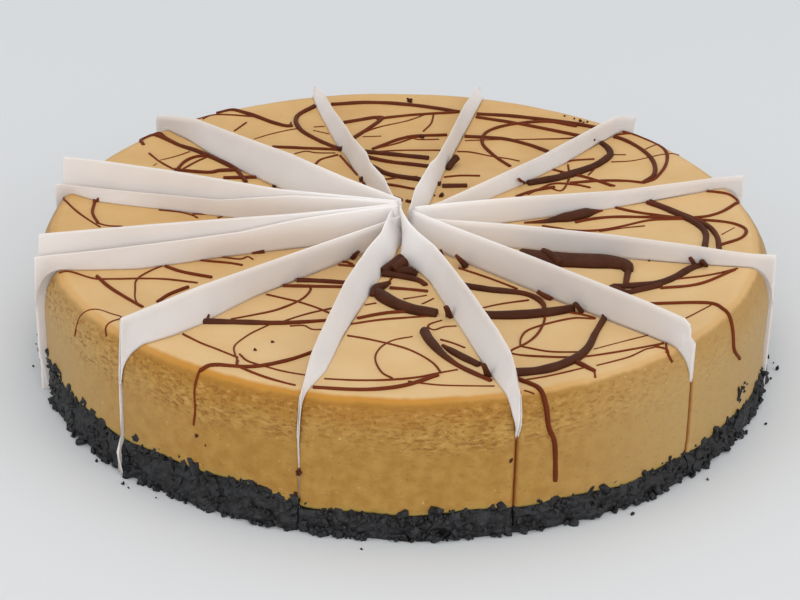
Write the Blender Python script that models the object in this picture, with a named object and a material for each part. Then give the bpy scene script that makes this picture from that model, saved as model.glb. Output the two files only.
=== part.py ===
"""A round caramel cheesecake on a dark crumb crust, cut into twelve slices.

The chocolate drizzle was poured over the whole cake before it was cut, so every strand stops at
the cuts. A folded sheet of parchment stands in each cut and opens into two leaves above the top.
Units are metres, +Z is up and the origin is at the centre of the flat base.
"""

import math

import bmesh
import bpy
import numpy as np
from mathutils import Vector

MM = 0.001

# Driving dimensions of the baked cake.
CAKE_RADIUS = 127 * MM
RIM_HEIGHT = 46 * MM
TOP_SAG = 4 * MM
SHOULDER_RUN = 8 * MM
SHOULDER_DROP = 16 * MM
SHOULDER_POWER = 2.3
SHOULDER_STEPS = 4
SIDE_BULGE = 0.3 * MM
BULGE_HEIGHT = 20 * MM

# Driving dimensions of the crumb crust under it. Its top rises towards the front left, over the
# directions whose cosine from there is above CRUST_RISE_SPREAD.
CRUST_HEIGHT = 9 * MM
CRUST_RISE = 4 * MM
CRUST_RADIUS = 129.2 * MM
CRUST_HIGHEST_DEG = 222
CRUST_RISE_SPREAD = 0.55
CRUST_SHAPED_FROM = 100 * MM
CRUST_CRAG = 0.9 * MM
CRUST_WAVE = 0.5 * MM
CRUST_WAVES = ((9, 0.7), (23, 2.1))
CRUST_SEED = 1000
LAYER_GAP = 0.3 * MM

# The crust's outer wall from the top down: part of its height, and how rough it is there.
CRUST_WALL = ((0.84, 0.4), (0.5, 1.0), (0.0, 0.6))

# The cuts, as degrees anticlockwise from +X seen from above, and the gap that each one leaves.
CUTS_DEG = (-13, 18, 47, 76, 108, 139, 170, 199, 226, 256, 286, 316)
CUT_GAP = 1.0 * MM
TIP_RADIUS = 3.2 * MM
SLICE_COLUMNS = 8
BOTTOM_RADII = (TIP_RADIUS, 30 * MM, 62 * MM, 92 * MM, 112 * MM, 122 * MM, CAKE_RADIUS)
TOP_RADII = (96 * MM, 66 * MM, 34 * MM, TIP_RADIUS)

# The parchment sheets. FLAT_FLARE, in millimetres, parts the straight leaves from the bellied ones.
PAPER_THICKNESS = 0.36 * MM
PAPER_FOOT = 1.2 * MM
PAPER_INNER = 3.2 * MM
PAPER_LIFT = 0.6 * MM
PAPER_CROTCH = 0.7 * MM
PAPER_STATIONS = 12
WAVE_LENGTH = 46 * MM
WAVE_DEPTH = 0.8 * MM
FLARE_START = 35 * MM
FLARE_END = 105 * MM
FLAT_FLARE = 1.0
LEAF_BEND = 0.25 * MM
LEAF_LEAN = 0.3 * MM
LEAF_RISE = 0.9 * MM
LEAF_BELLY = 0.15
LEAF_SPREAD_POWER = 1.2
LEAF_LEVEL_FROM = 0.9

# The drizzle. The section of a strand is given as parts of its width, and its heights as parts of
# its crown, which stands STRAND_HEIGHT widths above the skin.
STRAND_STEP = 7.5 * MM
CURVE_STEPS = 24
STRAND_ROOT = 0.8 * MM
STRAND_HEIGHT = 0.62
STRAND_FOOT = 0.42
STRAND_EDGE = 0.5
STRAND_EDGE_RISE = 0.35
STRAND_CROWN = 0.26
STRAND_CLEARANCE = 0.75 * MM
SMALLEST_STRAND = 1.5
SKIN_TABLE_STEPS = 16
SKIN_PROBE = 0.5 * MM

# Each strand is a width in millimetres, or one width for each point, and its points as (x, y) in
# millimetres on the top. Beyond the shoulder, the side counts as folded out flat.
STRANDS = {
    1: [
        ((1.6, 5.0, 6.5, 5.0, 2.0), (42, 10.6), (50, 11.6), (58, 14.2), (66, 17.6), (70, 19.6)),
        (
            (2.2, 2.6, 2.8, 2.8, 2.4),
            (87, 25),
            (94, 19),
            (99.5, 12.5),
            (102.5, 5),
            (103.5, -4),
            (103, -10),
        ),
        (2.2, (101, 10), (105.5, 4), (108, -4), (108, -12)),
        (1.6, (62, 12.5), (74, 14.8), (88, 14), (100, 12.4)),
        (1.5, (75, 21.5), (84, 17.6), (97, 12.4)),
        (1.5, (104, 34), (113, 33), (118, 27), (114, 18), (106, 13.4), (98, 12.6)),
        (1.5, (100, 11), (110, 8.4), (118, 3), (114, -6), (107, -10.5)),
    ],
    2: [
        (
            (3.4, 3.6, 3.2, 2.8, 2.6, 2.4),
            (44, 41),
            (53, 43.6),
            (62, 49.4),
            (70, 56),
            (75, 65),
            (73.6, 75),
        ),
        (1.9, (77, 83), (84, 74), (89.6, 64), (91.2, 54), (87.5, 43.5)),
        (1.5, (60, 43.4), (70, 44.8), (80, 44.4), (87, 42.4)),
        (1.5, (57, 52.6), (66, 48), (75, 40.6)),
        (1.5, (40, 32), (46, 36.6), (54, 40)),
    ],
    3: [
        (1.9, (27, 102.6), (40, 101), (54, 96.6), (66, 93)),
        (1.7, (28, 99.6), (42, 94.6), (55, 88.8), (63, 84.4)),
        (1.7, (64, 92.6), (54, 96.2), (40, 93.6), (30.5, 87), (28.6, 77), (33, 66), (37.6, 58.6)),
        (1.9, (24, 82.6), (36, 81), (46, 75.8), (52, 70.6)),
        (2.2, (16, 40), (22, 40.6)),
        ((2.2, 2.8), (15.6, 55), (18.6, 61)),
    ],
    4: [
        (1.9, (-29, 108.6), (-14, 111), (2, 109.6), (18, 104.8)),
        (1.8, (-23.6, 92.6), (-12, 98), (-10.6, 95.6), (-19.6, 80)),
        (1.6, (-12, 96.6), (2, 101), (18, 104)),
        (2.3, (-15, 67.6), (-6, 66), (7, 63.4)),
        (2.1, (-13.6, 63), (-6, 59.6), (7, 56.6)),
        (2.3, (-11.6, 54), (-6, 48.6), (4, 45.2)),
        (1.6, (-12, 71), (0, 81.4), (14, 84)),
    ],
    5: [
        (2.1, (-37.6, 105), (-43, 96), (-41, 85), (-33.6, 76), (-27.4, 71)),
        (1.8, (-49.6, 68.8), (-29.4, 68.8)),
        (1.9, (-46, 87.4), (-55, 91), (-66, 99), (-67, 106)),
    ],
    6: [
        (1.9, (-96.6, 73.6), (-86, 66.4), (-75, 57.6), (-65, 48.4), (-60, 39)),
        (1.8, (-83, 44.2), (-74, 44.4), (-64, 47.2)),
        (1.6, (-83.6, 45.6), (-80, 53), (-75, 57.6)),
        (1.8, (-65.6, 40.4), (-56, 42.4)),
    ],
    7: [
        (1.5, (-120, 29), (-116, 22), (-110.6, 16), (-109.6, 5), (-106.6, -3)),
    ],
    8: [
        ((1.6, 2.4, 2.2), (-51, -18.6), (-45, -16.6), (-40, -14.4)),
        (1.5, (-79.6, -60), (-76.6, -54), (-71, -47.6)),
        (1.5, (-101.4, -44), (-96, -52), (-89, -59.6), (-84, -64.6)),
        (1.5, (-80, -33), (-74, -36.4), (-64, -39.2)),
    ],
    9: [
        (2.1, (-36, -38.8), (-28, -38.6), (-19.4, -39.4)),
        (1.6, (-38, -43.2), (-19.8, -42.2)),
        ((2.6, 2.4, 1.9, 1.5), (-62, -72.8), (-50, -71.9), (-38, -70.8), (-26, -67.8)),
        (1.6, (-28, -90.6), (-36, -97.8), (-46, -102.8), (-57, -102.8), (-61.6, -105.4)),
    ],
    10: [
        ((3.4, 5.2, 5.2, 4.0), (0.5, -23), (-1, -25.6), (-3, -27.6), (-5, -30)),
        (2.5, (-5, -30), (0, -32.3), (4, -35.3), (6.6, -38.6)),
        (2.8, (-5, -34.6), (-7.4, -40), (-8.4, -45.6)),
        ((3.8, 4.4, 4.4, 4.2), (-7.6, -45.6), (-3.4, -51.4), (3.4, -56.4), (10, -60.2)),
        (1.9, (-4.5, -42.6), (1, -43), (6.6, -44.8)),
        (
            (3.4, 3.4, 3.0, 2.4, 2.0, 1.8),
            (6.8, -74),
            (8.3, -80),
            (11, -87),
            (14, -93),
            (19, -100),
            (26, -107),
        ),
        (2.6, (12.4, -81), (15.6, -88), (22, -98)),
        (1.7, (-24.6, -115.4), (-12, -115.8), (0, -112.6), (11, -104.6)),
        (1.5, (-15, -65.6), (-6, -61), (4, -59)),
    ],
    11: [
        ((2.6, 2.6, 2.4, 2.0, 1.6), (19, -39), (28, -42.4), (40, -45.2), (45.4, -52), (45.6, -60)),
        (3.6, (24.8, -62.3), (35, -62), (45, -60.3), (54, -57.2)),
        (
            (2.2, 2.4, 2.6, 3.0, 3.2, 3.2),
            (64, -65),
            (61, -75),
            (58, -85),
            (53, -93.6),
            (44, -100.6),
            (35.6, -103),
        ),
        ((2.0, 1.6), (54, -95), (59, -101)),
        (1.8, (36.6, -107), (41, -112), (44, -118), (46.6, -124), (51, -129), (57, -141)),
    ],
    12: [
        (
            (5.6, 7.2, 7.6, 6.8, 3.4, 2.2),
            (49.6, -18.8),
            (57, -20),
            (66, -23),
            (72.4, -26),
            (75, -31),
            (73.6, -38),
        ),
        ((2.8, 2.8, 2.6, 2.4), (72, -44), (82, -41), (92, -34.6), (99.6, -26.4)),
        ((2.0, 2.4), (71, -40), (80, -41)),
        (1.5, (85, -41.6), (98, -39), (111, -29)),
        (1.7, (80.6, -53), (99, -53.4), (104, -59), (107, -66), (111, -71), (118, -70)),
    ],
}

# The sheets, one for each cut in the same order: the heights of the leaf tops above the base at
# the centre and at the rim, how far each leaf leans and flares from the cut there, and the radius
# of its outer corner. The left leaf is the anticlockwise one. All in millimetres.
SHEETS = (
    {"inner": 51, "left": (54, 1.5, 0.4, 128.5), "right": (52, 1.5, 0.4, 129.0)},
    {"inner": 51, "left": (51, 1.5, 0.4, 128.8), "right": (49, 2.0, 0.6, 128.8)},
    {"inner": 50, "left": (52, 1.5, 0.4, 126.0), "right": (49, 2.0, 0.8, 129.0)},
    {"inner": 53, "left": (50, 2.5, 0.4, 127.0), "right": (49, 0.5, 0.4, 127.5)},
    {"inner": 53, "left": (50, 0.5, 0.4, 127.5), "right": (50, 2.5, 0.4, 127.0)},
    {"inner": 52, "left": (51, 3.5, 3.4, 126.5), "right": (52, 1.0, 0.4, 125.5)},
    {"inner": 53, "left": (52, 5.0, 3.8, 127.0), "right": (57, 4.0, 0.4, 124.5)},
    {"inner": 53, "left": (53, 4.5, 3.4, 129.0), "right": (58, 4.0, 0.4, 127.0)},
    {"inner": 51, "left": (54, 4.5, 4.6, 127.5), "right": (55, 1.0, 0.4, 127.0)},
    {"inner": 52, "left": (50, 0.6, 0.4, 127.5), "right": (51, 2.5, 0.4, 127.5)},
    {"inner": 52, "left": (53, 1.5, 0.4, 127.5), "right": (52, 0.6, 0.4, 127.0)},
    {"inner": 52, "left": (56, 1.5, 0.4, 125.5), "right": (51, 2.0, 0.4, 127.5)},
)
SHEET_FOOT_RADIUS = 126.0 * MM

# The faces that close the Y-shaped section of a sheet at its two ends: stem, crotch and leaves.
SECTION_FACES = ((0, 1, 2, 12), (2, 7, 12), (2, 3, 6, 7), (3, 4, 5, 6), (7, 8, 11, 12), (8, 9, 10, 11))

CREAM = ("caramel_cheesecake", "DDB47A", 0.55)
CRUMB = ("chocolate_crumb", "2B2A2E", 0.8)
PARCHMENT = ("parchment", "DAD6D2", 0.6)


def clear_scene():
    for obj in list(bpy.data.objects):
        bpy.data.objects.remove(obj, do_unlink=True)


def to_linear(channel):
    return channel / 12.92 if channel <= 0.04045 else ((channel + 0.055) / 1.055) ** 2.4


def make_material(name, hex_colour, roughness):
    channels = [int(hex_colour[i : i + 2], 16) / 255 for i in (0, 2, 4)]
    colour = [to_linear(channel) for channel in channels] + [1.0]
    material = bpy.data.materials.new(name)
    material.diffuse_color = colour
    material.use_nodes = True
    shader = material.node_tree.nodes["Principled BSDF"]
    shader.inputs["Base Color"].default_value = colour
    shader.inputs["Roughness"].default_value = roughness
    return material


def smooth_step(value, low, high):
    t = min(max((value - low) / (high - low), 0.0), 1.0)
    return t * t * (3 - 2 * t)


def cut_angle(index):
    """The direction of a cut in radians; index 12 is the first cut again, a full turn on."""
    turns, place = divmod(index, len(CUTS_DEG))
    return math.radians(CUTS_DEG[place] + 360 * turns)


def top_height(radius):
    """The height of the top: a shallow dish out to the shoulder, and the shoulder's curve after it."""
    plateau = CAKE_RADIUS - SHOULDER_RUN
    if radius <= plateau:
        return RIM_HEIGHT - TOP_SAG * (1 - (radius / plateau) ** 2)
    across = min((radius - plateau) / SHOULDER_RUN, 1.0)
    drop = (1 - across**SHOULDER_POWER) ** (1 / SHOULDER_POWER)
    return RIM_HEIGHT - SHOULDER_DROP * (1 - drop)


def shoulder_curve(steps):
    """(radius, height) points up the rounded shoulder, from the side to the edge of the top."""
    points = []
    for step in range(1, steps + 1):
        turn = math.pi / 2 * step / steps
        run = max(math.cos(turn), 0.0) ** (2 / SHOULDER_POWER)
        rise = math.sin(turn) ** (2 / SHOULDER_POWER)
        points.append(
            (
                CAKE_RADIUS - SHOULDER_RUN * (1 - run),
                RIM_HEIGHT - SHOULDER_DROP * (1 - rise),
            )
        )
    return points


def crust_top(radius, angle):
    """The pressed crumb stands higher at the rim, most of all at the front left."""
    front_left = math.cos(angle - math.radians(CRUST_HIGHEST_DEG))
    climb = CRUST_RISE * smooth_step(front_left, CRUST_RISE_SPREAD, 1.0)
    wave = CRUST_WAVE * sum(math.sin(times * angle + shift) for times, shift in CRUST_WAVES)
    return CRUST_HEIGHT + (climb + wave) * smooth_step(radius, CRUST_SHAPED_FROM, CAKE_RADIUS)


def slice_angle(number, across, radius):
    """The direction of a point of a slice; its two cut faces stay parallel to their cuts."""
    inset = math.asin(CUT_GAP / 2 / radius)
    low = cut_angle(number - 1) + inset
    high = cut_angle(number) - inset
    return low + (high - low) * across


def place(radius, angle, height):
    return Vector((radius * math.cos(angle), radius * math.sin(angle), height))


def new_object(name, bm, material):
    bmesh.ops.recalc_face_normals(bm, faces=bm.faces)
    mesh = bpy.data.meshes.new(name)
    bm.to_mesh(mesh)
    bm.free()
    mesh.materials.append(material)
    obj = bpy.data.objects.new(name, mesh)
    bpy.context.scene.collection.objects.link(obj)
    return obj


def sweep_slice(name, number, outline, material):
    """One closed wedge: the outline's loop of points at each column across, and its two cut faces."""
    bm = bmesh.new()
    rings = []
    for column in range(SLICE_COLUMNS + 1):
        across = column / SLICE_COLUMNS
        rings.append([bm.verts.new(point) for point in outline(number, across)])
    for first, second in zip(rings, rings[1:]):
        for i in range(len(first)):
            j = (i + 1) % len(first)
            bm.faces.new((first[i], first[j], second[j], second[i]))
    bm.faces.new(rings[0])
    bm.faces.new(rings[-1])
    bmesh.ops.triangulate(bm, faces=bm.faces)
    return new_object(name, bm, material)


def cream_outline(number, across):
    points = []
    for radius in BOTTOM_RADII:
        angle = slice_angle(number, across, radius)
        points.append(place(radius, angle, crust_top(radius, angle) + LAYER_GAP))
    side = [(CAKE_RADIUS + SIDE_BULGE, BULGE_HEIGHT), (CAKE_RADIUS, RIM_HEIGHT - SHOULDER_DROP)]
    side += shoulder_curve(SHOULDER_STEPS)
    side += [(radius, top_height(radius)) for radius in TOP_RADII]
    for radius, height in side:
        points.append(place(radius, slice_angle(number, across, radius), height))
    return points


def crust_outline(number, across):
    """The flat base, a craggy outer wall that stands a little proud, and the top under the cream."""
    crags = np.random.default_rng(CRUST_SEED * number + round(across * SLICE_COLUMNS))
    points = []
    for radius in BOTTOM_RADII:
        angle = slice_angle(number, across, radius)
        points.append(place(radius, angle, crust_top(radius, angle)))
    lip = crust_top(CAKE_RADIUS, slice_angle(number, across, CAKE_RADIUS))
    for level, roughness in CRUST_WALL:
        radius = CRUST_RADIUS + CRUST_CRAG * roughness * crags.uniform(-1, 0.4)
        points.append(place(radius, slice_angle(number, across, radius), lip * level))
    for radius in (BOTTOM_RADII[3], TIP_RADIUS):
        points.append(place(radius, slice_angle(number, across, radius), 0.0))
    return points


def surface_table():
    """(distance along the profile, radius, height), from the edge of the top down the side."""
    rows = [(radius, height) for radius, height in reversed(shoulder_curve(SKIN_TABLE_STEPS))]
    rows += [(CAKE_RADIUS, RIM_HEIGHT - SHOULDER_DROP), (CAKE_RADIUS + SIDE_BULGE, BULGE_HEIGHT)]
    rows += [(CAKE_RADIUS, CRUST_HEIGHT)]
    table = [(rows[0][0], *rows[0])]
    for before, after in zip(rows, rows[1:]):
        table.append((table[-1][0] + math.dist(before, after), *after))
    return np.array(table)


def on_surface(x, y, table):
    """The point of the cake's skin for a place on the folded-out top."""
    reach = math.hypot(x, y)
    angle = math.atan2(y, x)
    if reach <= table[0, 0]:
        return place(reach, angle, top_height(reach))
    radius = float(np.interp(reach, table[:, 0], table[:, 1]))
    height = float(np.interp(reach, table[:, 0], table[:, 2]))
    return place(radius, angle, height)


def skin_normal(x, y, table):
    along_x = on_surface(x + SKIN_PROBE, y, table) - on_surface(x - SKIN_PROBE, y, table)
    along_y = on_surface(x, y + SKIN_PROBE, table) - on_surface(x, y - SKIN_PROBE, table)
    return along_x.cross(along_y).normalized()


def smooth_curve(points, widths):
    """A fine smooth curve through the points, as rows of (x, y, width) in metres."""
    knots = np.array([(*point, width) for point, width in zip(points, widths)], float) * MM
    padded = np.vstack([2 * knots[0] - knots[1], knots, 2 * knots[-1] - knots[-2]])
    rows = []
    for i in range(1, len(padded) - 2):
        a, b, c, d = padded[i - 1 : i + 3]
        for t in np.linspace(0, 1, CURVE_STEPS, endpoint=False):
            cubic = 2 * b + (c - a) * t + (2 * a - 5 * b + 4 * c - d) * t**2
            rows.append((cubic + (3 * b - a - 3 * c + d) * t**3) / 2)
    rows.append(knots[-1])
    return np.array(rows)


def even_steps(rows):
    """The same curve at even steps."""
    steps = np.linalg.norm(np.diff(rows[:, :2], axis=0), axis=1)
    travel = np.concatenate([[0], np.cumsum(steps)])
    count = max(2, math.ceil(travel[-1] / STRAND_STEP) + 1)
    even = np.linspace(0, travel[-1], count)
    return np.column_stack([np.interp(even, travel, rows[:, i]) for i in range(3)])


def flare_at(sheet, side, radius):
    spread = min(max((radius - FLARE_START) / (FLARE_END - FLARE_START), 0.0), 1.0)
    return sheet[side][2] * MM * spread


def room_at(number, x, y):
    """The free distance from a place on a slice to the nearer of its two sheets."""
    radius = math.hypot(x, y)
    room = []
    for index, side, sign in ((number - 1, "left", 1), (number, "right", -1)):
        angle = cut_angle(index)
        distance = sign * (y * math.cos(angle) - x * math.sin(angle))
        sheet = SHEETS[index % len(SHEETS)]
        room.append(distance - CUT_GAP / 2 - flare_at(sheet, side, radius))
    return min(room)


def clipped(rows, number):
    """The longest stretch of a curve that stays clear of the sheets on both sides."""
    best, current = [], []
    for x, y, width in rows:
        if room_at(number, x, y) > width / 2 + STRAND_CLEARANCE:
            current.append((x, y, width))
        else:
            current = []
        if len(current) > len(best):
            best = list(current)
    return np.array(best)


def strand_object(name, route, table, material):
    """A flattened six-sided rope that is rooted a little under the cake's skin."""
    bm = bmesh.new()
    rings = []
    last = len(route) - 1
    for i, (x, y, width) in enumerate(route):
        before = on_surface(*route[max(i - 1, 0)][:2], table)
        after = on_surface(*route[min(i + 1, last)][:2], table)
        normal = skin_normal(x, y, table)
        side = normal.cross(after - before).normalized()
        centre = on_surface(x, y, table)
        crown = width * STRAND_HEIGHT
        section = (
            (-STRAND_FOOT * width, -STRAND_ROOT),
            (STRAND_FOOT * width, -STRAND_ROOT),
            (STRAND_EDGE * width, STRAND_EDGE_RISE * crown),
            (STRAND_CROWN * width, crown),
            (-STRAND_CROWN * width, crown),
            (-STRAND_EDGE * width, STRAND_EDGE_RISE * crown),
        )
        rings.append([bm.verts.new(centre + side * across + normal * up) for across, up in section])
    for first, second in zip(rings, rings[1:]):
        for i in range(len(first)):
            j = (i + 1) % len(first)
            bm.faces.new((first[i], first[j], second[j], second[i]))
    bm.faces.new(rings[0])
    bm.faces.new(rings[-1])
    bmesh.ops.triangulate(bm, faces=bm.faces)
    return new_object(name, bm, material)


def fuse_strands(cream, number, material):
    """The thick drizzle of one slice becomes part of its solid."""
    table = surface_table()
    holder = bpy.data.collections.new(f"strands_{number:02d}")
    bpy.context.scene.collection.children.link(holder)
    for widths, *points in STRANDS[number]:
        if not isinstance(widths, tuple):
            widths = (widths,) * len(points)
        widths = np.interp(np.linspace(0, 1, len(points)), np.linspace(0, 1, len(widths)), widths)
        if widths.max() < SMALLEST_STRAND:
            continue
        rows = clipped(smooth_curve(points, widths), number)
        if len(rows) < 2:
            continue
        strand = strand_object("strand", even_steps(rows), table, material)
        bpy.context.scene.collection.objects.unlink(strand)
        holder.objects.link(strand)
    union = cream.modifiers.new("fuse", "BOOLEAN")
    union.operation = "UNION"
    union.operand_type = "COLLECTION"
    union.collection = holder
    union.solver = "MANIFOLD"
    graph = bpy.context.evaluated_depsgraph_get()
    fused = bpy.data.meshes.new_from_object(cream.evaluated_get(graph))
    cream.modifiers.clear()
    plain = cream.data
    cream.data = fused
    fused.name = cream.name
    bpy.data.meshes.remove(plain)
    for strand in list(holder.objects):
        bpy.data.objects.remove(strand, do_unlink=True)
    bpy.data.collections.remove(holder)


def thickened(line):
    """The two sides of a leaf's line of (across, height) points, half the paper either way."""
    outer, inner = [], []
    for i, (across, height) in enumerate(line):
        a = line[max(i - 1, 0)]
        b = line[min(i + 1, len(line) - 1)]
        length = math.dist(a, b)
        normal = ((b[1] - a[1]) / length, -(b[0] - a[0]) / length)
        half = PAPER_THICKNESS / 2
        outer.append((across + normal[0] * half, height + normal[1] * half))
        inner.append((across - normal[0] * half, height - normal[1] * half))
    return outer, inner


def leaf_line(sheet, side, radius, base):
    """One leaf from the cut up: a bend near the cake, then the lean to its top edge."""
    top, lean, flare, _ = sheet[side]
    out = min(radius / CAKE_RADIUS, 1.0)
    level = smooth_step(out, 0.0, LEAF_LEVEL_FROM)
    tip_height = (sheet["inner"] + (top - sheet["inner"]) * level) * MM
    bend = max(flare_at(sheet, side, radius), LEAF_BEND)
    tip = max(lean * MM * out**LEAF_SPREAD_POWER, LEAF_LEAN)
    wave = WAVE_DEPTH * out * math.sin(2 * math.pi * radius / WAVE_LENGTH + top)
    shift = wave if side == "left" else -wave
    if flare < FLAT_FLARE:
        tip = max(tip + shift, LEAF_LEAN)
    return [(bend, base + LEAF_RISE + LEAF_BELLY * bend), (tip, tip_height)]


def sheet_section(sheet, radius):
    """The fold's stem between the slices and the two leaves above, as (across, height, side)."""
    plateau = CAKE_RADIUS - SHOULDER_RUN
    base = top_height(min(radius, plateau)) + PAPER_LIFT
    half = PAPER_THICKNESS / 2
    left_outer, left_inner = thickened(leaf_line(sheet, "left", radius, base))
    right_outer, right_inner = thickened(leaf_line(sheet, "right", radius, base))
    section = [(-half, PAPER_FOOT, "foot"), (half, PAPER_FOOT, "foot"), (half, base, "left")]
    section += [(*point, "left") for point in left_outer]
    section += [(*point, "left") for point in reversed(left_inner)]
    section.append((0.0, base + PAPER_CROTCH, "left"))
    section += [(-across, height, "right") for across, height in right_inner]
    section += [(-across, height, "right") for across, height in reversed(right_outer)]
    section.append((-half, base, "right"))
    return section


def sheet_reach(sheet, part):
    return SHEET_FOOT_RADIUS if part == "foot" else sheet[part][3] * MM


def make_sheet(name, index, material):
    sheet = SHEETS[index]
    angle = cut_angle(index)
    outward = Vector((math.cos(angle), math.sin(angle), 0))
    leftward = Vector((-math.sin(angle), math.cos(angle), 0))
    bm = bmesh.new()
    rings = []
    for station in range(PAPER_STATIONS + 1):
        along = station / PAPER_STATIONS
        radius = PAPER_INNER + (CAKE_RADIUS - PAPER_INNER) * along
        ring = []
        for across, height, part in sheet_section(sheet, radius):
            reach = PAPER_INNER + (sheet_reach(sheet, part) - PAPER_INNER) * along
            ring.append(bm.verts.new(outward * reach + leftward * across + Vector((0, 0, height))))
        rings.append(ring)
    for first, second in zip(rings, rings[1:]):
        for i in range(len(first)):
            j = (i + 1) % len(first)
            # Both faces of the paper are split along the same diagonal, so its thickness holds.
            if first[j].co.z >= first[i].co.z:
                bm.faces.new((first[i], first[j], second[j]))
                bm.faces.new((first[i], second[j], second[i]))
            else:
                bm.faces.new((first[i], first[j], second[i]))
                bm.faces.new((first[j], second[j], second[i]))
    for ring in (rings[0], rings[-1]):
        for corners in SECTION_FACES:
            bm.faces.new([ring[corner] for corner in corners])
    bmesh.ops.triangulate(bm, faces=bm.faces)
    return new_object(name, bm, material)


def main():
    clear_scene()
    cream_material = make_material(*CREAM)
    crumb_material = make_material(*CRUMB)
    paper_material = make_material(*PARCHMENT)
    for number in range(1, len(CUTS_DEG) + 1):
        cream = sweep_slice(f"slice_{number:02d}_cheesecake", number, cream_outline, cream_material)
        fuse_strands(cream, number, cream_material)
        sweep_slice(f"slice_{number:02d}_crust", number, crust_outline, crumb_material)
        make_sheet(f"divider_{number:02d}", number - 1, paper_material)


main()
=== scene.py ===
# %% [markdown]
# A round caramel cheesecake stands on a dark crumb crust. It is cut into twelve slices, chocolate
# is drizzled over it, and a folded sheet of parchment stands in each cut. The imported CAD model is
# the frame: its nodes give every size, and each detailed piece here takes the place of one.

import math

import bmesh
import bpy
import numpy as np
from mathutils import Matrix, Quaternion, Vector, noise


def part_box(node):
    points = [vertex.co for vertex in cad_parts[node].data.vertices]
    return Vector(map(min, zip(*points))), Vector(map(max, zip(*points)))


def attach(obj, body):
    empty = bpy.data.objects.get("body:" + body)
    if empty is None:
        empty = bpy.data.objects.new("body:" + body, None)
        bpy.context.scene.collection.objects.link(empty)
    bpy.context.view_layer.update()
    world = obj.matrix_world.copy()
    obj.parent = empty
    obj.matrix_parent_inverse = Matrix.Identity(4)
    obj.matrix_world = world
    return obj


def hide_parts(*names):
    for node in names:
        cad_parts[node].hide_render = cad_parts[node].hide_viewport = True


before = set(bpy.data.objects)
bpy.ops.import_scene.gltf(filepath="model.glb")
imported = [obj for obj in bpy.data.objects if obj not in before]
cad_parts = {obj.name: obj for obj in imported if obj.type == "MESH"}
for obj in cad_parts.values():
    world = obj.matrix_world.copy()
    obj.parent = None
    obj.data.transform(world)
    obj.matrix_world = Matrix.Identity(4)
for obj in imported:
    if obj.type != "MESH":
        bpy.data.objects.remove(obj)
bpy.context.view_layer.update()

# %% [markdown]
# The sizes that shape the cake are the solid's own driving dimensions: a pan's radius, a rim
# height, a top that dips as it cools and a shoulder that rounds over to the side. Only the cuts
# are drawn half as wide as the solid's, because the slices still press on the paper between them.
# Angles are degrees anticlockwise from +X, seen from above.

# %% Driving dimensions
MM = 0.001
CAKE_RADIUS = 127 * MM
RIM_HEIGHT = 46 * MM
TOP_SAG = 4 * MM
SHOULDER_RUN = 8 * MM
SHOULDER_DROP = 16 * MM
SHOULDER_POWER = 2.3
PLATEAU = CAKE_RADIUS - SHOULDER_RUN
SIDE_TOP = RIM_HEIGHT - SHOULDER_DROP
CRUST_HEIGHT = 9 * MM
LAYER_GAP = 0.3 * MM
CUTS_DEG = (-13, 18, 47, 76, 108, 139, 170, 199, 226, 256, 286, 316)
CUT_GAP = 0.5 * MM
TIP_RADIUS = 3.2 * MM
SLICES = range(1, len(CUTS_DEG) + 1)


def cut_angle(index):
    """The direction of a cut in radians; the thirteenth is the first again, a full turn on."""
    turns, place = divmod(index, len(CUTS_DEG))
    return math.radians(CUTS_DEG[place] + 360 * turns)


for node in ("slice_01_cheesecake", "slice_10_crust", "divider_08"):
    low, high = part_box(node)
    print(node, "is", [round((b - a) / MM, 1) for a, b in zip(low, high)], "mm")

# %% [markdown]
# A finish starts from colours that a person can read. Blender's shaders work in linear light, so
# one function turns an sRGB hex value into linear numbers. One more adds a shader node with its
# settings and links and gives back the output that the next node needs, which keeps each material
# a short list of what it is made of. A Mix node repeats its sockets' names for each kind of data,
# so the ones for colours are found by number.

# %% Colour and shader helpers
COLOUR_MIX = {"data_type": "RGBA"}
MIX_AMOUNT, MIX_UNDER, MIX_OVER, MIX_RESULT = 0, 6, 7, 2


def linear(hex_colour):
    """An sRGB hex value as linear red, green, blue and alpha."""
    channels = [int(hex_colour[i : i + 2], 16) / 255 for i in (0, 2, 4)]
    return [c / 12.92 if c <= 0.04045 else ((c + 0.055) / 1.055) ** 2.4 for c in channels] + [1.0]


def set_sockets(material, node, sockets):
    """Gives each socket a plain value, or a link from another node's output."""
    for name, value in sockets.items():
        if isinstance(value, bpy.types.NodeSocket):
            material.node_tree.links.new(value, node.inputs[name])
        else:
            node.inputs[name].default_value = value


def add(material, kind, output, settings=None, sockets=None):
    """Adds one shader node with its settings and sockets, and gives back one of its outputs."""
    node = material.node_tree.nodes.new("ShaderNode" + kind)
    for name, value in (settings or {}).items():
        setattr(node, name, value)
    set_sockets(material, node, sockets or {})
    return node.outputs[output]


def new_material(name, sockets):
    """A Principled material; sockets are the values that are the same all over it."""
    material = bpy.data.materials.new(name)
    material.use_nodes = True
    shader = material.node_tree.nodes["Principled BSDF"]
    set_sockets(material, shader, sockets)
    return material, shader


print("mid grey in linear light:", round(linear("808080")[0], 3))

# %% [markdown]
# The camera comes first. It looks down at the cake by about 28 degrees with a long lens, and it
# leans by about one degree, as a hand-held camera does.

# %% Camera
CAMERA_DISTANCE = 0.780
CAMERA_ELEVATION = math.radians(28.58)
CAMERA_ROLL = math.radians(1.26)
CAMERA_AIM = Vector((-0.0013, 0.0, 0.0164))
LENS_MM = 98.13

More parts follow.
